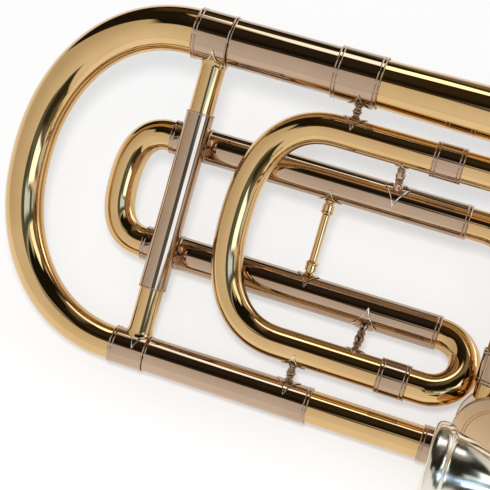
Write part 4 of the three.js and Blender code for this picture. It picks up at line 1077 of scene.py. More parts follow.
@dataclass
class RotaryValve:
    """Casing with its knuckles, cap, back plate and bumpers. The rotor itself stays the CAD node."""

    radius: float = 18.8
    wall: float = 2.6
    top: float = 15.0
    bottom: float = -17.0
    cap_radius: float = 19.4
    cap_top: float = 20.0
    groove: float = 13.4
    knuckle: float = 8.0
    knuckle_wall: float = 0.6
    socket: float = 8.0
    port_angle: float = 120.0
    stem: float = 3.0
    plate: float = 3.0
    arm_radius: float = 12.0
    bumper: float = 2.6
    bumper_height: float = 7.0

    def port(self, quarters: float) -> Vector:
        """Centre of a port inside the casing, counted in quarter turns."""
        angle = math.radians(self.port_angle + 90 * quarters)
        reach = self.radius - 2 * self.wall
        return Vector((TUBES.valve_x + reach * math.cos(angle), TUBES.valve_y + reach * math.sin(angle), 0))

    def build(self, space: Space) -> None:
        """Builds its pieces in the bell section's space."""
        axis = space.moved(x=TUBES.valve_x, y=TUBES.valve_y).upright()
        self.build_casing(space, axis)
        self.build_cap(axis)
        self.build_back(space, axis)
        dress_node("rotor", Slot.NICKEL)

    def build_casing(self, space: Space, axis: Space) -> None:
        """Builds the casing and its four knuckles."""
        bore = self.radius - self.wall
        piece = Workpiece()
        piece.turn(rounded([
            (self.bottom, self.radius), (self.bottom + 1.5, self.radius),
            (self.bottom + 1.8, self.radius - 0.4), (self.top - 3.2, self.radius - 0.4),
            (self.top - 2.9, self.radius), (self.top, self.radius), (self.top, bore),
            (self.bottom, bore)], 0.3), axis, 96)
        runs = (
            [self.port(0), Vector((179.4, 28.0, 0)), Vector((179.4, 44.0, 0))],
            [self.port(1), Vector((168.5, 0, 0)), Vector((159.9, 0, 0))],
            [self.port(2), Vector((199.0, -6.0, 0)), Vector((214.0, -6.0, 0))],
            [self.port(3), Vector((208.0, 26.0, 0)), Vector((208.0, 42.0, 0))])
        for run, bend in zip(runs, (6.0, 12.0, 12.0, 12.0)):
            piece.sweep(bent_path(run, bend, 14), self.knuckle, self.knuckle_wall, space)
        ring = ferrule_outline(-self.socket - 1.3, 0.0, self.knuckle - 0.05)
        piece.turn(ring, space.moved(x=214.0, y=-6.0))
        piece.turn(ring, space.moved(x=208.0, y=42.0).crosswise())
        piece.finished("valve_casing_shell", "bell_section", Slot.BRASS, "valve_casing")

    def build_cap(self, axis: Space) -> None:
        """Builds the cap: a flat face with a turned double groove, and a milled edge."""
        seat = self.top + TUBES.fit
        inner = self.radius - self.wall - TUBES.fit
        face = self.cap_top
        outline = rounded([
            (self.top - 0.7, 0.0), (self.top - 0.7, inner), (seat, inner), (seat, self.cap_radius),
            (face - 0.5, self.cap_radius), (face, self.cap_radius - 0.5),
            (face, self.groove + 1.0), (face - 0.45, self.groove + 0.75), (face, self.groove + 0.4),
            (face, self.groove - 0.2), (face - 0.45, self.groove - 0.5), (face, self.groove - 0.8),
            (face, 0.0)], 0.1, closed=False)

        def milled(corner: Vector) -> None:
            """Presses fine flutes into the cap's edge."""
            across = math.hypot(corner.y, corner.z)
            if across > self.cap_radius - 0.2 and corner.x > seat + 0.6:
                flute = 1 - 0.012 * abs(math.sin(36 * math.atan2(corner.z, corner.y)))
                corner.y *= flute
                corner.z *= flute

        cap = Workpiece().turn(outline, axis, 288, milled).finished(
            "valve_cap_disc", "bell_section", Slot.BRASS, "valve_cap")
        cap.data.materials[0] = SATIN_BRASS.build()

    def build_back(self, space: Space, axis: Space) -> None:
        """Builds the back plate and the two bumpers of the stop arm."""
        top = self.bottom - TUBES.fit
        low = top - self.plate
        inner = self.radius - self.wall - TUBES.fit
        outline = rounded([
            (low, self.stem + TUBES.fit), (low, self.radius - 1.0), (low + 0.7, self.radius - 0.3),
            (top, self.radius), (top, inner), (top + 0.7, inner), (top + 0.7, self.stem + TUBES.fit)], 0.25)
        Workpiece().turn(outline, axis, 96).finished(
            "valve_back_cover", "bell_section", Slot.BRASS, "valve_back_plate")
        for name, node in (("rest_bumper", "stop_bumper_rest"), ("pressed_bumper", "stop_bumper_pressed")):
            corner_low, corner_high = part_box(node)
            centre = axis.matrix.inverted() @ ((corner_low + corner_high) / 2)
            foot = centre.x + self.bumper_height / 2 - 0.3
            tip = centre.x - self.bumper_height / 2 + 0.3
            shape = rounded([(tip, 0.0), (tip, self.bumper - 0.3), (tip + 0.4, self.bumper),
                             (foot, self.bumper), (foot, 0.0)], 0.4, closed=False)
            Workpiece().turn(shape, axis.moved(y=centre.y, z=centre.z), 40).finished(
                name, "bell_section", Slot.RUBBER, node)


@dataclass
class ThumbLinkage:
    """Stop arm, link rod, thumb lever, bracket and spring, behind the valve."""

    arm_radius: float = 12.0
    arm_angle: float = 135.0
    arm_width: float = 5.0
    thickness: float = 3.0
    hub: float = 5.5
    stem: float = 3.0
    eye: float = 3.6
    arm_top: float = -20.6
    link_top: float = -24.3
    link_width: float = 3.4
    pin: float = 1.5
    lever_x: float = 242.0
    lever_arm: float = 47.0
    lever_top: float = -27.6
    lever_width: float = 7.0
    pad_reach: float = 34.0
    pad: tuple[float, float] = (24.0, 14.0)
    pivot: float = 2.0
    bracket: float = 4.0
    bracket_seat: float = 5.8
    wire: float = 0.6
    turns: int = 5

    def build(self, space: Space) -> None:
        """Builds its pieces in the bell section's space."""
        valve = space.moved(x=TUBES.valve_x, y=TUBES.valve_y)
        angle = math.radians(self.arm_angle)
        pin = Vector((self.arm_radius * math.cos(angle), self.arm_radius * math.sin(angle), 0))
        self.build_arm(valve, pin)
        pin_x, pin_y = TUBES.valve_x + pin.x, TUBES.valve_y + pin.y
        self.build_link(space, pin_x, pin_y)
        self.build_lever(space, pin_y)
        self.build_bracket(space.moved(x=self.lever_x, y=pin_y + self.lever_arm))

    def build_arm(self, valve: Space, pin: Vector) -> None:
        """Builds the stop arm with its hub, screw and pin."""
        low = self.arm_top - self.thickness
        piece = Workpiece()
        piece.disc(valve, low, self.arm_top, self.hub, self.stem + TUBES.fit)
        piece.disc(valve.moved(x=pin.x, y=pin.y), low, self.arm_top, self.eye)
        middle = (self.arm_top + low) / 2
        along = valve.moved(x=pin.x * 0.62, y=pin.y * 0.62, z=middle).turned(self.arm_angle, "Z")
        piece.bar(along, (self.arm_radius * 0.75, self.arm_width, self.thickness), 0.5)
        piece.finished("valve_stop_arm", "valve_rotor", Slot.NICKEL, "stop_arm")

    def build_link(self, space: Space, pin_x: float, pin_y: float) -> None:
        """Builds the link rod with its eyes and ball pins."""
        low = self.link_top - self.thickness
        middle = (self.link_top + low) / 2
        piece = Workpiece()
        length = self.lever_x - pin_x
        rod = space.moved(x=pin_x, y=pin_y, z=middle)
        half = self.link_width / 2
        outline = rounded([(1.0, 0.0), (1.0, half), (8.0, half), (8.6, half - 0.5), (length - 8.6, half - 0.5),
                           (length - 8.0, half), (length - 1.0, half), (length - 1.0, 0.0)], 0.4,
                          closed=False)
        piece.turn(outline, rod, 32)
        for x in (pin_x, self.lever_x):
            eye = space.moved(x=x, y=pin_y)
            piece.disc(eye, low, self.link_top, self.eye, soft=0.7)
            piece.disc(eye, low - 0.25, low + 0.2, self.pin + 0.4, soft=0.2)
        piece.disc(space.moved(x=self.lever_x, y=pin_y), self.lever_top - self.thickness,
                   self.link_top - 0.4, self.pin, soft=0.3)
        piece.finished("valve_link_rod", "linkage", Slot.STEEL, "link_rod")

    def build_lever(self, space: Space, pin_y: float) -> None:
        """Builds the lever with its thumb pad."""
        low = self.lever_top - self.thickness
        middle = (self.lever_top + low) / 2
        top_y = pin_y + self.lever_arm
        eye = self.lever_width / 2 + 0.4
        piece = Workpiece()
        piece.disc(space.moved(x=self.lever_x, y=top_y), low, self.lever_top, eye, self.pivot + TUBES.fit,
                   0.6)
        piece.disc(space.moved(x=self.lever_x, y=pin_y), low, self.lever_top, eye, self.pin + TUBES.fit,
                   0.6)
        piece.bar(space.moved(x=self.lever_x, y=pin_y + self.lever_arm / 2, z=middle),
                  (self.lever_width, self.lever_arm - 5.2, self.thickness), 0.8)
        pad_x = self.lever_x - self.pad_reach
        start = self.lever_x - 2.4
        piece.bar(space.moved(x=(start + pad_x) / 2, y=top_y, z=middle),
                  (start - pad_x, self.lever_width, self.thickness), 0.8)
        piece.bar(space.moved(x=pad_x, y=top_y, z=self.lever_top - self.pad[1] / 2),
                  (self.pad[0], self.thickness, self.pad[1]), 1.35)
        piece.finished("thumb_lever_plate", "trigger", Slot.BRASS, "thumb_lever")

    def build_bracket(self, pivot: Space) -> None:
        """Builds the bracket's post with its pivot screw, and the return spring."""
        seat = self.bracket_seat
        shoulder = -self.lever_top - TUBES.fit
        head = -self.lever_top + self.thickness + TUBES.fit
        down = pivot.turned(90.0, "Y")
        outline = rounded([
            (seat - 1.5, 0.0), (seat - 1.5, self.bracket + 0.4), (seat + 3, self.bracket + 0.4),
            (seat + 3.4, self.bracket), (shoulder, self.bracket), (shoulder, self.pivot),
            (head, self.pivot), (head, self.bracket - 0.2), (head + 0.5, self.bracket),
            (head + 1.2, self.bracket - 0.3), (head + 1.5, self.bracket - 1.2), (head + 1.5, 0.0)], 0.2,
            closed=False)
        Workpiece().turn(outline, down, 48).finished(
            "lever_pivot_post", "bell_section", Slot.BRASS, "lever_bracket")
        start = seat + 3 + self.wire + TUBES.fit
        end = shoulder - self.wire - TUBES.fit
        Workpiece().coil(down.moved(x=start), self.turns, self.bracket + self.wire + TUBES.fit, self.wire,
                         end - start, (4.0, 4.0)).finished(
            "lever_return_spring", "bell_section", Slot.STEEL, "lever_spring")


@dataclass
class Neck:
    """Gooseneck, neck receiver, bell brace and lock nut."""

    start_x: float = 206.3
    knuckle_x: float = 214.0
    knuckle_y: float = -6.0
    receiver: tuple[float, float] = (232.0, 262.0)
    receiver_radius: float = 10.5
    tenon: float = 8.5
    tenon_start: float = 245.5
    brace_x: float = 242.0
    brace_radius: float = 5.5
    brace_flange: tuple[float, float] = (16.0, 24.0)
    nut: tuple[float, float] = (252.0, 270.0)
    nut_radius: float = 13.5
    nut_floor: float = 2.6

    def build(self, space: Space, slide: Space, bell: BellSection) -> None:
        """Builds its pieces.

        Args:
            space: The bell section's space.
            slide: The hand slide's space, which the lock nut follows.
            bell: The bell, for its radius at the brace.
        """
        start, end = self.receiver
        middle = (self.knuckle_x + start) / 2
        curve = interpolate_bezier(
            Vector((self.knuckle_x, self.knuckle_y, 0)), Vector((middle, self.knuckle_y, 0)),
            Vector((middle, 0, 0)), Vector((start, 0, 0)), 28)
        path = [Vector((self.start_x, self.knuckle_y, 0)), *curve, Vector((start + 8, 0, 0))]
        Workpiece().sweep(path, TUBES.low_leg, TUBES.wall, space).finished(
            "gooseneck_tube", "bell_section", Slot.BRASS, "gooseneck")
        socket, bore = TUBES.low_leg + TUBES.fit, self.tenon + TUBES.fit
        inner = TUBES.low_leg - TUBES.wall
        Workpiece().turn(rounded([
            (start, 9.3), (start + 3, self.receiver_radius), (end, self.receiver_radius), (end, bore),
            (self.tenon_start - 0.3, bore), (self.tenon_start - 0.3, inner), (start + 8.3, inner),
            (start + 8.3, socket), (start, socket)], 0.4), space).finished(
            "neck_receiver_sleeve", "bell_section", Slot.NICKEL, "neck_receiver")
        self.build_brace(space, bell)
        self.build_nut(slide)

    def build_brace(self, space: Space, bell: BellSection) -> None:
        """Builds the brace between the neck and the bell."""
        foot = self.brace_radius
        stem = [(0.0, foot + 1.2), (0.01, foot + 0.9), (0.02, foot), (0.48, foot), (0.485, foot + 0.5),
                (0.515, foot + 0.5), (0.52, foot), (0.98, foot), (0.99, foot + 0.9), (1.0, foot + 1.2)]
        piece = Workpiece()
        brace(piece, space, Vector((self.brace_x, 0, 0)), Vector((self.brace_x, TUBES.bell_axis, 0)),
              (self.receiver_radius, bell.radius_at(self.brace_x + self.brace_flange[0] / 2)), stem,
              self.brace_flange)
        piece.finished("neck_to_bell_brace", "bell_section", Slot.BRASS, "bell_brace")

    def build_nut(self, slide: Space) -> None:
        """Builds the lock nut with its knurled grip."""
        start, end = self.nut
        bore = self.receiver_radius + TUBES.fit
        lip = end - self.nut_floor
        outline = rounded([
            (start, self.nut_radius - 1), (start + 1, self.nut_radius - 0.1),
            (start + 3, self.nut_radius - 0.1), (start + 3.3, self.nut_radius - 0.6),
            (start + 3.8, self.nut_radius - 0.6), (start + 4.1, self.nut_radius),
            (end - 4.1, self.nut_radius), (end - 3.8, self.nut_radius - 0.6),
            (end - 3.3, self.nut_radius - 0.6), (end - 3, self.nut_radius - 0.1),
            (end - 1, self.nut_radius - 0.1), (end, self.nut_radius - 1),
            (end, self.tenon + TUBES.fit), (lip, self.tenon + TUBES.fit), (lip, bore), (start, bore)], 0.12)

        def knurled(corner: Vector) -> None:
            """Presses straight knurls into the grip between the grooves."""
            across = math.hypot(corner.y, corner.z)
            if across > self.nut_radius - 0.35 and start + 4 < corner.x < end - 4:
                press = 1 - 0.035 * abs(math.sin(30 * math.atan2(corner.z, corner.y)))
                corner.y *= press
                corner.z *= press

        Workpiece().turn(outline, slide, 360, knurled).finished(
            "neck_lock_nut", "neck_nut", Slot.NICKEL, "lock_nut")


@dataclass
class InnerSlide:
    """The fixed half of the hand slide, with the mouthpiece receiver."""

    bore: float = 6.95
    tube: float = 7.25
    tenon: float = 8.5
    tenon_ends: tuple[float, float] = (245.5, 284.0)
    collar: tuple[float, float] = (262.3, 267.1)
    tube_start: float = 262.6
    tube_end: float = 940.0
    stocking: float = 7.4
    stocking_length: float = 120.0
    mouth_x: float = 218.0
    shank_end_x: float = 244.0
    barrel: tuple[float, float] = (276.0, 312.0)
    barrel_radius: float = 11.2
    barrel_wall: float = 1.2
    barrel_floor: float = 5.0
    brace_x: float = 286.0
    brace_radius: float = 4.8
    lock_ring: tuple[float, float] = (296.0, 304.0)
    lock_wall: float = 1.8

    def build(self, slide: Space) -> None:
        """Builds its pieces in the hand slide's space."""
        body = "bell_section"
        upper = slide.moved(z=TUBES.slide_spacing)
        socket = self.tube + TUBES.fit
        start, end = self.tenon_ends
        ring = 10.2
        low, high = self.collar
        Workpiece().turn(rounded([
            (start, self.tenon), (low, self.tenon), (low, ring), (high, ring), (high, self.tenon),
            (end, self.tenon), (end, socket), (self.tube_start - 0.3, socket),
            (self.tube_start - 0.3, self.bore), (start, self.bore)]), slide).finished(
            "neck_side_tenon", body, Slot.NICKEL, "neck_tenon")
        mouth = self.tenon + 1.2
        Workpiece().turn(rounded([
            (self.mouth_x, mouth - 0.3), (self.mouth_x + 0.8, mouth), (self.mouth_x + 6, mouth),
            (self.mouth_x + 7.2, self.tenon), (end, self.tenon), (end, socket),
            (self.tube_start - 0.3, socket), (self.tube_start - 0.3, self.bore),
            (self.shank_end_x + 0.6, self.bore), (self.shank_end_x + 0.3, 6.15), (self.mouth_x, 6.6)],
            0.3), upper).finished("mouthpiece_receiver_sleeve", body, Slot.NICKEL, "mouthpiece_receiver")
        tube = rounded([
            (self.tube_start, self.tube), (self.tube_end - self.stocking_length, self.tube),
            (self.tube_end - self.stocking_length + 1.0, self.stocking), (self.tube_end, self.stocking),
            (self.tube_end, self.bore), (self.tube_start, self.bore)], 0.1)
        barrel_low, barrel_high = self.barrel
        wide, thin = self.barrel_radius, self.barrel_radius - self.barrel_wall
        floor = barrel_low + self.barrel_floor
        hole = self.tenon + TUBES.fit
        barrel = rounded([
            (barrel_low, wide - 1), (barrel_low + 1, wide), (barrel_low + 5, wide),
            (barrel_low + 5.3, wide - 0.3), (barrel_low + 6.0, wide - 0.3), (barrel_low + 6.3, wide),
            (barrel_high - 2, wide), (barrel_high, wide - 0.3), (barrel_high, thin), (floor, thin),
            (floor, hole), (barrel_low, hole)], 0.25)
        for side, place in (("neck", slide), ("mouthpiece", upper)):
            Workpiece().turn(tube, place).finished(
                f"inner_slide_tube_{side}", body, Slot.NICKEL, f"inner_tube_{side}_side")
            Workpiece().turn(barrel, place).finished(
                f"cork_barrel_{side}", body, Slot.NICKEL, f"cork_barrel_{side}_side")
        self.build_brace(slide, body)
        self.build_lock_ring(upper)

    def build_brace(self, slide: Space, body: str) -> None:
        """Builds the brace that the left hand holds."""
        wide, thin = self.brace_radius + 1.4, self.brace_radius
        stem = [(0.0, wide), (0.03, wide - 0.2), (0.06, thin), (0.46, thin), (0.47, thin + 0.6),
                (0.53, thin + 0.6), (0.54, thin), (0.94, thin), (0.97, wide - 0.2), (1.0, wide)]
        piece = Workpiece()
        brace(piece, slide, Vector((self.brace_x, 0, 0)), Vector((self.brace_x, 0, TUBES.slide_spacing)),
              (self.barrel_radius, self.barrel_radius), stem, (14.0, 14.0))
        piece.finished("inner_slide_hand_brace", body, Slot.NICKEL, "inner_slide_brace")

    def build_lock_ring(self, upper: Space) -> None:
        """Builds the slide lock's ring with its thumb tab."""
        start, end = self.lock_ring
        bore = self.barrel_radius + TUBES.fit
        outside = bore + self.lock_wall
        piece = Workpiece()
        piece.turn(rounded([(start, outside - 0.4), (start + 0.5, outside), (end - 0.5, outside),
                            (end, outside - 0.4), (end, bore), (start, bore)], 0.2), upper, 96)
        piece.bar(upper.moved(x=(start + end) / 2, z=outside + 0.5), (6.0, 9.0, 3.0), 0.7)
        piece.finished("slide_lock_collar", "lock_ring", Slot.NICKEL, "slide_lock_ring")


@dataclass
class OuterSlide:
    """The moving half of the hand slide, with its crook, handle and water key."""

    start: float = 289.0
    end: float = 952.0
    radius: float = 8.1
    bore: float = 7.7
    collar: float = 9.3
    collar_length: float = 8.0
    ferrule: float = 20.0
    leg_start: float = 944.0
    bend_x: float = 1003.0
    wall: float = 0.6
    handle_x: float = 334.0
    handle_radius: float = 6.24
    boss: float = 4.5
    boss_length: float = 5.0
    tip: float = 5.5
    tip_length: float = 8.0
    nipple_x: float = 1000.0
    hinge_x: float = 983.0
    hinge_depth: float = 13.2
    nipple: float = 3.4
    nipple_bore: float = 1.8
    nipple_height: float = 4.0
    ear_reach: float = 4.2
    ear: float = 1.4
    key_arm: tuple[float, float] = (2.6, 1.6)
    key_sleeve: float = 2.4
    key_tab_reach: float = 19.0
    key_cup: float = 4.5
    key_wire: float = 0.35

    def build(self, slide: Space) -> None:
        """Builds its pieces in the hand slide's space."""
        body = "outer_slide"
        sleeve = self.radius + 0.8
        socket = self.radius + TUBES.fit
        outline = rounded([
            (self.start, self.collar - 0.3), (self.start + 0.4, self.collar),
            (self.start + self.collar_length, self.collar), (self.start + self.collar_length + 0.4, self.radius),
            (self.end - self.ferrule, self.radius), (self.end - self.ferrule + 0.2, sleeve),
            (self.end - 1.4, sleeve)], closed=False)
        outline = [p for p in outline if p[0] < self.end - 2.4]
        outline += ring_pair(self.end - 2.3, sleeve)
        outline += [(self.end, socket), (self.leg_start - 0.3, socket), (self.leg_start - 0.3, self.bore),
                    (self.start, self.bore)]
        for side, place in (("neck", slide), ("mouthpiece", slide.moved(z=TUBES.slide_spacing))):
            Workpiece().turn(outline, place).finished(
                f"outer_slide_tube_{side}", body, Slot.BRASS, f"outer_tube_{side}_side")
        wide, thin = self.handle_radius + 1.5, self.handle_radius
        stem = [(0.0, wide), (0.03, wide - 0.2), (0.06, thin), (0.94, thin), (0.97, wide - 0.2), (1.0, wide)]
        piece = Workpiece()
        brace(piece, slide, Vector((self.handle_x, 0, 0)), Vector((self.handle_x, 0, TUBES.slide_spacing)),
              (self.radius, self.radius), stem, (18.0, 15.0))
        piece.finished("slide_handle", body, Slot.NICKEL, "handle_brace")
        self.build_crook(slide, body)
        self.build_key(slide.turned(90.0, "X"), body)

    def build_key(self, keyed: Space, body: str) -> None:
        """Builds the water key and its spring.

        Args:
            keyed: The slide's space, turned so that the key hangs below the crook's leg.
            body: The body that carries the spring.
        """
        reach = self.ear_reach - TUBES.fit
        arm_y = reach - self.key_arm[0] / 2
        arm_z = -self.hinge_depth - self.key_sleeve + 0.4
        seat = self.radius + self.nipple_height + TUBES.fit
        hinge = keyed.moved(x=self.hinge_x, z=-self.hinge_depth).crosswise()
        piece = Workpiece()
        piece.turn(rounded([(-reach, self.key_sleeve), (reach, self.key_sleeve), (reach, 1.2),
                            (-reach, 1.2)], 0.3), hinge, 40)
        end = self.hinge_x - self.key_tab_reach
        piece.bar(keyed.moved(x=(self.nipple_x + end) / 2, y=arm_y, z=arm_z),
                  (self.nipple_x - end, *self.key_arm), 0.45)
        piece.bar(keyed.moved(x=end, z=arm_z), (9.0, 8.0, self.key_arm[1]), 0.7)
        cup = -arm_z + self.key_arm[1] / 2
        piece.turn(rounded([(seat, 0.0), (seat, self.key_cup - 0.5), (seat + 0.4, self.key_cup),
                            (cup - 0.9, self.key_cup), (cup - 0.2, self.key_cup - 1.0), (cup, 0.0)], 0.35,
                           closed=False), keyed.moved(x=self.nipple_x).turned(90.0, "Y"), 48)
        piece.finished("water_key_lever", "drain_key", Slot.BRASS, "water_key")
        start = -reach + 2 * self.key_wire
        length = arm_y - self.key_arm[0] / 2 - 2 * self.key_wire - start
        Workpiece().coil(hinge.moved(x=start), 3, self.key_sleeve + TUBES.fit + 2 * self.key_wire,
                         self.key_wire, length, (2.5, 2.5)).finished(
            "water_key_return_spring", body, Slot.STEEL, "water_key_spring")

    def build_crook(self, slide: Space, body: str) -> None:
        """Builds the crook with its boss, drain nipple and hinge ears, and the rubber tip."""
        half = TUBES.slide_spacing / 2
        path = [Vector((self.leg_start, 0, 2 * half)), Vector((self.bend_x - 4, 0, 2 * half))]
        for i in range(65):
            angle = math.pi * (0.5 - i / 64)
            path.append(Vector((self.bend_x + half * math.cos(angle), 0, half + half * math.sin(angle))))
        path += [Vector((self.bend_x - 4, 0, 0)), Vector((self.leg_start, 0, 0))]
        piece = Workpiece()
        piece.sweep(path, self.radius, self.wall, slide)
        edge = self.bend_x + half + self.radius
        boss_end = edge + self.boss_length
        middle = slide.moved(z=half)
        piece.turn(rounded([(edge - 1.2, 0.0), (edge - 1.2, self.boss + 0.9), (edge + 0.4, self.boss + 0.2),
                            (edge + 1.4, self.boss), (boss_end, self.boss), (boss_end, 0.0)], 0.3,
                           closed=False), middle, 48)
        keyed = slide.turned(90.0, "X")
        bottom = -self.radius
        below = keyed.moved(x=self.nipple_x).turned(90.0, "Y")
        piece.turn(rounded([(-bottom - 0.3, self.nipple), (-bottom + self.nipple_height, self.nipple - 0.3),
                            (-bottom + self.nipple_height, self.nipple_bore),
                            (-bottom - 0.3, self.nipple_bore)], 0.2), below, 40)
        middle_y = self.ear_reach + self.ear / 2
        for side in (-1, 1):
            piece.bar(keyed.moved(x=self.hinge_x, y=side * middle_y, z=-10.9), (5.0, self.ear, 8.6), 0.35)
        pin = keyed.moved(x=self.hinge_x, z=-self.hinge_depth).crosswise()
        piece.turn(rounded([(-middle_y - 1.0, 0.0), (-middle_y - 1.0, 1.3), (-middle_y, 1.3),
                            (-middle_y, 0.9), (middle_y + 0.7, 0.9), (middle_y + 0.7, 0.0)], 0.15,
                           closed=False), pin, 24)
        piece.finished("slide_crook_tube", body, Slot.BRASS, "slide_crook")
        shape = rounded([(boss_end + 0.3, 0.0), (boss_end + 0.3, self.tip - 0.6),
                         (boss_end + 1.4, self.tip), (boss_end + self.tip_length - 2.2, self.tip),
                         (boss_end + self.tip_length, self.tip - 1.6), (boss_end + self.tip_length, 0.0)],
                        0.8, 5, closed=False)
        Workpiece().turn(shape, middle, 56).finished("slide_rubber_tip", body, Slot.RUBBER, "slide_bumper")


@dataclass
class Mouthpiece:
    """A large-shank mouthpiece in its receiver."""

    rim_x: float = 161.0
    length: float = 83.0
    outside: Profile = field(default_factory=lambda: [
        (1.6, 12.6), (0.5, 13.4), (0.0, 15.0), (0.0, 17.0), (0.5, 18.5), (1.8, 19.5), (4.0, 19.75),
        (6.2, 19.5), (7.8, 18.7), (8.8, 17.6), (10.5, 17.1), (14.0, 16.5), (18.0, 15.4), (24.0, 13.2),
        (31.0, 10.0), (37.0, 7.9), (43.0, 6.95), (57.0, 6.3), (82.4, 5.9)])
    inside: Profile = field(default_factory=lambda: [
        (83.0, 5.3), (82.4, 4.85), (50.0, 4.4), (38.0, 3.75), (34.0, 3.6), (30.5, 3.85), (27.0, 4.8),
        (23.5, 6.6), (20.0, 8.4), (16.0, 10.0), (12.0, 11.2), (7.0, 12.1), (3.0, 12.45)])
    steps: int = 5

    def build(self, slide: Space) -> None:
        """Builds it in the hand slide's space."""
        points = [Vector((self.rim_x + x, radius)) for x, radius in self.outside + self.inside]
        outline = []
        count = len(points)
        for i in range(count):
            before, start, end, after = (points[(i + k) % count] for k in (-1, 0, 1, 2))
            reach = (end - start).length / 3
            first = (end - before).normalized() * reach
            second = (after - start).normalized() * reach
            curve = interpolate_bezier(start, start + first, end - second, end, self.steps + 1)
            outline += [(p[0], p[1]) for p in curve[:-1]]
        Workpiece().turn(outline, slide.moved(z=TUBES.slide_spacing), 96).finished(
            "silver_mouthpiece", "mouthpiece_body", Slot.SILVER, "mouthpiece")


# Camera, floor, lamps and surroundings

@dataclass
class Viewpoint:
    """The photograph's camera, fitted to the tubes. Angles are degrees, lengths millimetres."""

    roll: float = 16.96
    swing: float = 10.36
    tilt: float = 6.31
    target: tuple[float, float] = (49.6, 64.6)
    distance: float = 655.0
    lens: float = 101.37
    sensor: float = 36.0

    def directions(self, space: Space) -> tuple[Vector, Vector, Vector]:
        """Finds the image's right and up and the way back to the camera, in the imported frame.

        Args:
            space: The bell section's space.

        Returns:
            Unit vectors to the image's right, to its top, and from the target to the camera.
        """
        roll, swing, tilt = (math.radians(a) for a in (self.roll, self.swing, self.tilt))
        away = Vector((math.sin(swing), math.sin(tilt) * math.cos(swing), math.cos(tilt) * math.cos(swing)))
        across = Vector((math.cos(swing), -math.sin(tilt) * math.sin(swing),
                         -math.cos(tilt) * math.sin(swing)))
        climb = Vector((0.0, math.cos(tilt), -math.sin(tilt)))
        right = across * math.cos(roll) + climb * math.sin(roll)
        up = climb * math.cos(roll) - across * math.sin(roll)
        turn = space.matrix.to_3x3()
        return tuple((turn @ v).normalized() for v in (right, up, away))

    def eye(self, space: Space) -> Vector:
        """Finds the camera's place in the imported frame."""
        target = space.matrix @ Vector((*self.target, 0.0))
        return target + self.directions(space)[2] * self.distance * MILLIMETRE

    def build(self, space: Space) -> None:
        """Makes the camera and hands it to the scene."""
        right, up, away = self.directions(space)
        data = bpy.data.cameras.new("photo_camera")
        data.lens, data.sensor_width = self.lens, self.sensor
        data.clip_start, data.clip_end = 0.02, 50.0
        camera = bpy.data.objects.new("photo_camera", data)
        camera.matrix_world = (Matrix.Translation(self.eye(space))
                               @ Matrix((right, up, away)).transposed().to_4x4())
        bpy.context.scene.collection.objects.link(camera)
        bpy.context.scene.camera = camera


@dataclass(frozen=True)
class Panel:
    """A soft-edged rectangle of the surroundings that metal reflects.

    It is laid out in degrees around the way back to the camera: X to the image's right, Y to its top.
    """

    left: float
    right: float
    low: float
    high: float
    colour: tuple[float, float, float]
    turn: float = 0.0
    soft: float = 1.5

    def paint(self, tree: bpy.types.NodeTree, plane: bpy.types.NodeSocket,
              below: bpy.types.NodeSocket) -> bpy.types.NodeSocket:
        """Lays the panel over what is below it.

        Args:
            tree: The world's node tree.
            plane: The direction in degrees around the way back.
            below: The colour below.

        Returns:
            The colour with the panel on it.
        """
        half = ((self.right - self.left) / 2, (self.high - self.low) / 2)
        mapping = tree.nodes.new("ShaderNodeMapping")
        mapping.vector_type = "TEXTURE"
        mapping.inputs["Location"].default_value = (self.left + half[0], self.low + half[1], 0.0)
        mapping.inputs["Rotation"].default_value = (0.0, 0.0, math.radians(self.turn))
        mapping.inputs["Scale"].default_value = (half[0], half[1], 1.0)
        tree.links.new(plane, mapping.inputs["Vector"])
        fold = tree.nodes.new("ShaderNodeVectorMath")
        fold.operation = "ABSOLUTE"
        tree.links.new(mapping.outputs["Vector"], fold.inputs[0])
        parts = tree.nodes.new("ShaderNodeSeparateXYZ")
        tree.links.new(fold.outputs["Vector"], parts.inputs["Vector"])
        both = tree.nodes.new("ShaderNodeMath")
        both.operation = "MULTIPLY"
        for i, size in enumerate(half):
            edge = self.soft / size
            tree.links.new(remapped(tree, parts.outputs[i], (1 - edge, 1 + edge), (1.0, 0.0)),
                           both.inputs[i])
        return mixed(tree, both.outputs["Value"], below, self.colour)


def mixed(tree: bpy.types.NodeTree, factor: bpy.types.NodeSocket, first: bpy.types.NodeSocket,
          second: bpy.types.NodeSocket | tuple[float, float, float]) -> bpy.types.NodeSocket:
    """Mixes two colours.

    Args:
        tree: The node tree.
        factor: Share of the second colour.
        first: The first colour.
        second: The second colour, as a socket or as numbers.

    Returns:
        The mixed colour's socket.
    """
    mix = tree.nodes.new("ShaderNodeMix")
    mix.data_type = "RGBA"
    tree.links.new(factor, mix.inputs[0])
    tree.links.new(first, mix.inputs[6])
    if isinstance(second, tuple):
        mix.inputs[7].default_value = (*second, 1.0)
    else:
        tree.links.new(second, mix.inputs[7])
    return mix.outputs[2]


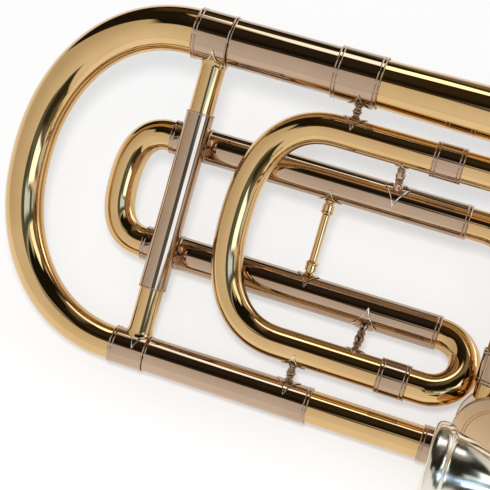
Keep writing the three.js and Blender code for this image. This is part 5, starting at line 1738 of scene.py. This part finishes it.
@dataclass
class Studio:
    """Pale floor, soft key light, and surroundings with a dark ceiling and bright panels."""

    front_low: tuple[float, float, float] = (0.9, 0.9, 0.92)
    front_high: tuple[float, float, float] = (0.64, 0.61, 0.57)
    fill_level: float = 0.6
    sun_strength: float = 0.5
    sun_spread: float = 30.0
    key_power: float = 18.7
    key_radius: float = 30.0
    key_offset: tuple[float, float] = (-12.0, 50.0)
    floor_colour: float = 0.55
    floor_glow: float = 0.39
    panels: tuple[Panel, ...] = (
        Panel(-29, 60, 14, 126, (0.012, 0.011, 0.007)),
        Panel(-15, 60, 1, 16, (0.012, 0.011, 0.007)),
        Panel(-24, -13, 7, 18, (0.05, 0.035, 0.02)),
        Panel(-73, 10, 44, 120, (0.016, 0.013, 0.009), turn=-31.0),
        Panel(-12, -6, 1, 13, (0.5, 0.48, 0.5), soft=2.0),
        Panel(-14, 12, 30, 64, (0.04, 0.03, 0.02), soft=8.0),
        Panel(-25, 14, 86, 108, (0.08, 0.055, 0.025), soft=6.0),
        Panel(-8, 3, 70, 80, (0.8, 0.72, 0.62), soft=2.5),
        Panel(1, 17, 68, 87, (2.2, 2.5, 2.5), soft=1.6),
        Panel(24, 75, 82, 128, (0.22, 0.2, 0.16), soft=4.0),
        Panel(12, 46, 47, 62, (0.24, 0.22, 0.18), turn=-10.0, soft=4.0),
        Panel(6, 20, 40, 46, (0.14, 0.14, 0.14), soft=2.0),
        Panel(14, 47, 62, 75, (1.9, 2.05, 2.2), turn=-22.0, soft=1.2),
        Panel(56, 74, -10, 32, (0.24, 0.2, 0.12), soft=3.0),
        Panel(24, 38, 0, 9, (0.62, 0.72, 0.7), soft=2.5),
        Panel(35, 46, -2, 5, (1.4, 1.9, 2.2), soft=1.5),
        Panel(40, 56, -1, 23, (1.6, 1.85, 1.9), turn=-18.0),
        Panel(-12, 22, -14, 0, (0.1, 0.13, 0.13)),
        Panel(20, 64, -14, -1, (0.1, 0.13, 0.11)),
        Panel(6, 37, -11.5, -5, (0.8, 1.2, 2.0), turn=-2.0, soft=1.5),
        Panel(49, 61, -15, -6, (0.6, 0.87, 1.3), soft=2.0),
        Panel(-6, 17, -28, -13, (0.14, 0.18, 0.18)),
        Panel(-12, 4, -21, -15, (0.13, 0.15, 0.16), turn=-48.0),
        Panel(12, 66, -31, -20, (0.14, 0.15, 0.15), turn=2.0, soft=2.5),
        Panel(-3, 41, -41, -25, (0.04, 0.04, 0.025), turn=-24.0, soft=1.5),
        Panel(16.5, 47, -24, -14.5, (1.8, 2.3, 3.1), turn=-10.0, soft=1.2),
        Panel(25, 46, -43, -30, (0.14, 0.14, 0.1), soft=2.0),
        Panel(53, 80, -42, -24, (0.7, 0.86, 1.0), soft=3.0),
        Panel(-150, -94, -50, 88, (0.95, 0.97, 1.0), soft=4.0),
        Panel(80, 150, -70, 80, (1.15, 1.15, 1.2), soft=4.0),
        Panel(86, 112, -45, 75, (3.0, 3.0, 3.0), soft=3.0))

    def build(self, directions: tuple[Vector, Vector, Vector], eye: Vector) -> None:
        """Builds the stage.

        Args:
            directions: The view's right, up and way back, around which the panels are laid out.
            eye: The camera's place, beside which the key light stands.
        """
        self.build_world(directions)
        self.build_floor()
        self.build_key(directions, eye)
        bpy.context.scene.view_settings.view_transform = "Standard"

    def plane(self, tree: bpy.types.NodeTree,
              directions: tuple[Vector, Vector, Vector]) -> bpy.types.NodeSocket:
        """Works out the world's direction in degrees around the way back.

        Args:
            tree: The world's node tree.
            directions: The view's right, up and way back.

        Returns:
            The socket of a vector (degrees right, degrees up, 0).
        """
        where = tree.nodes.new("ShaderNodeTexCoord").outputs["Generated"]
        values = []
        for direction in directions:
            dot = tree.nodes.new("ShaderNodeVectorMath")
            dot.operation = "DOT_PRODUCT"
            dot.inputs[1].default_value = direction
            tree.links.new(where, dot.inputs[0])
            values.append(dot.outputs["Value"])
        flat = tree.nodes.new("ShaderNodeCombineXYZ")
        tree.links.new(values[0], flat.inputs[0])
        tree.links.new(values[1], flat.inputs[1])
        heading = tree.nodes.new("ShaderNodeVectorMath")
        heading.operation = "NORMALIZE"
        tree.links.new(flat.outputs["Vector"], heading.inputs[0])
        lean = tree.nodes.new("ShaderNodeMath")
        lean.operation = "ARCCOSINE"
        tree.links.new(values[2], lean.inputs[0])
        degrees = tree.nodes.new("ShaderNodeMath")
        degrees.operation = "DEGREES"
        tree.links.new(lean.outputs["Value"], degrees.inputs[0])
        scaled = tree.nodes.new("ShaderNodeVectorMath")
        scaled.operation = "SCALE"
        tree.links.new(heading.outputs["Vector"], scaled.inputs[0])
        tree.links.new(degrees.outputs["Value"], scaled.inputs["Scale"])
        return scaled.outputs["Vector"]

    def build_world(self, directions: tuple[Vector, Vector, Vector]) -> None:
        """Builds the surroundings: white to the camera, panels to metal, a plain fill to the rest."""
        world = bpy.data.worlds.new("surroundings")
        bpy.context.scene.world = world
        world.use_nodes = True
        tree = world.node_tree
        nodes, links = tree.nodes, tree.links
        nodes.clear()
        plane = self.plane(tree, directions)
        slope = nodes.new("ShaderNodeVectorMath")
        slope.operation = "DOT_PRODUCT"
        slope.inputs[1].default_value = (-0.4, 1.0, 0.0)
        links.new(plane, slope.inputs[0])
        front = nodes.new("ShaderNodeRGB")
        front.outputs[0].default_value = (*self.front_low, 1.0)
        colour = mixed(tree, remapped(tree, slope.outputs["Value"], (-40.0, 65.0), (0.0, 1.0)),
                       front.outputs[0], self.front_high)
        for panel in self.panels:
            colour = panel.paint(tree, plane, colour)
        rays = nodes.new("ShaderNodeLightPath")
        fill = nodes.new("ShaderNodeRGB")
        fill.outputs[0].default_value = (self.fill_level,) * 3 + (1.0,)
        colour = mixed(tree, rays.outputs["Is Glossy Ray"], fill.outputs[0], colour)
        colour = mixed(tree, rays.outputs["Is Camera Ray"], colour, (1.0, 1.0, 1.0))
        background = nodes.new("ShaderNodeBackground")
        links.new(colour, background.inputs["Color"])
        output = nodes.new("ShaderNodeOutputWorld")
        links.new(background.outputs["Background"], output.inputs["Surface"])

    def build_floor(self) -> None:
        """Builds the floor, which shows white around the object's shadow."""
        part = bmesh.new()
        bmesh.ops.create_grid(part, x_segments=1, y_segments=1, size=30.0)
        mesh = bpy.data.meshes.new("floor")
        part.to_mesh(mesh)
        part.free()
        floor = bpy.data.objects.new("floor", mesh)
        bpy.context.scene.collection.objects.link(floor)
        material = bpy.data.materials.new("pale_floor")
        material.use_nodes = True
        tree = material.node_tree
        shader = tree.nodes["Principled BSDF"]
        shader.inputs["Base Color"].default_value = (self.floor_colour,) * 3 + (1.0,)
        shader.inputs["Roughness"].default_value = 1.0
        shader.inputs["Specular IOR Level"].default_value = 0.0
        rays = tree.nodes.new("ShaderNodeLightPath")
        seen = rays.outputs["Is Camera Ray"]
        for kind in ("Is Glossy Ray", "Is Transmission Ray"):
            either = tree.nodes.new("ShaderNodeMath")
            either.operation = "MAXIMUM"
            tree.links.new(seen, either.inputs[0])
            tree.links.new(rays.outputs[kind], either.inputs[1])
            seen = either.outputs["Value"]
        glow = tree.nodes.new("ShaderNodeMath")
        glow.operation = "MULTIPLY"
        glow.inputs[1].default_value = self.floor_glow
        tree.links.new(seen, glow.inputs[0])
        shader.inputs["Emission Color"].default_value = (1.0, 1.0, 1.0, 1.0)
        tree.links.new(glow.outputs["Value"], shader.inputs["Emission Strength"])
        mesh.materials.append(material)

    def build_key(self, directions: tuple[Vector, Vector, Vector], eye: Vector) -> None:
        """Builds the key light beside the camera and a weak wide sun. Metal reflects neither."""
        right, up, away = directions
        data = bpy.data.lights.new("key_light", "POINT")
        data.energy = self.key_power
        data.shadow_soft_size = self.key_radius * MILLIMETRE
        data.use_nodes = True
        tree = data.node_tree
        falloff = tree.nodes.new("ShaderNodeLightFalloff")
        falloff.inputs["Strength"].default_value = 1.0
        tree.links.new(falloff.outputs["Constant"], tree.nodes["Emission"].inputs["Strength"])
        key = bpy.data.objects.new("key_light", data)
        aside = right * self.key_offset[0] + up * self.key_offset[1]
        key.matrix_world = Matrix.Translation(eye + aside * MILLIMETRE)
        sun_data = bpy.data.lights.new("wide_sun", "SUN")
        sun_data.energy = self.sun_strength
        sun_data.angle = math.radians(self.sun_spread)
        sun = bpy.data.objects.new("wide_sun", sun_data)
        sun.matrix_world = away.to_track_quat("Z", "Y").to_matrix().to_4x4()
        for lamp in (key, sun):
            lamp.visible_glossy = False
            bpy.context.scene.collection.objects.link(lamp)


def main() -> None:
    """Builds the instrument's pieces in order, then the camera and the studio."""
    logging.basicConfig(level=logging.INFO, format="%(message)s")
    bell_space, slide_space = instrument_spaces(TUBES.valve_x, TUBES.valve_y)
    view = Viewpoint()
    view.build(bell_space)
    Studio().build(view.directions(bell_space), view.eye(bell_space))
    bell = BellSection()
    MainTuningSlide().build(bell_space)
    bell.build(bell_space)
    FTuningSlide().build(bell_space)
    FWrap().build(bell_space)
    SmallBraces().build(bell_space)
    RotaryValve().build(bell_space)
    ThumbLinkage().build(bell_space)
    Neck().build(bell_space, slide_space, bell)
    InnerSlide().build(slide_space)
    OuterSlide().build(slide_space)
    Mouthpiece().build(slide_space)


if __name__ == "__main__":
    main()
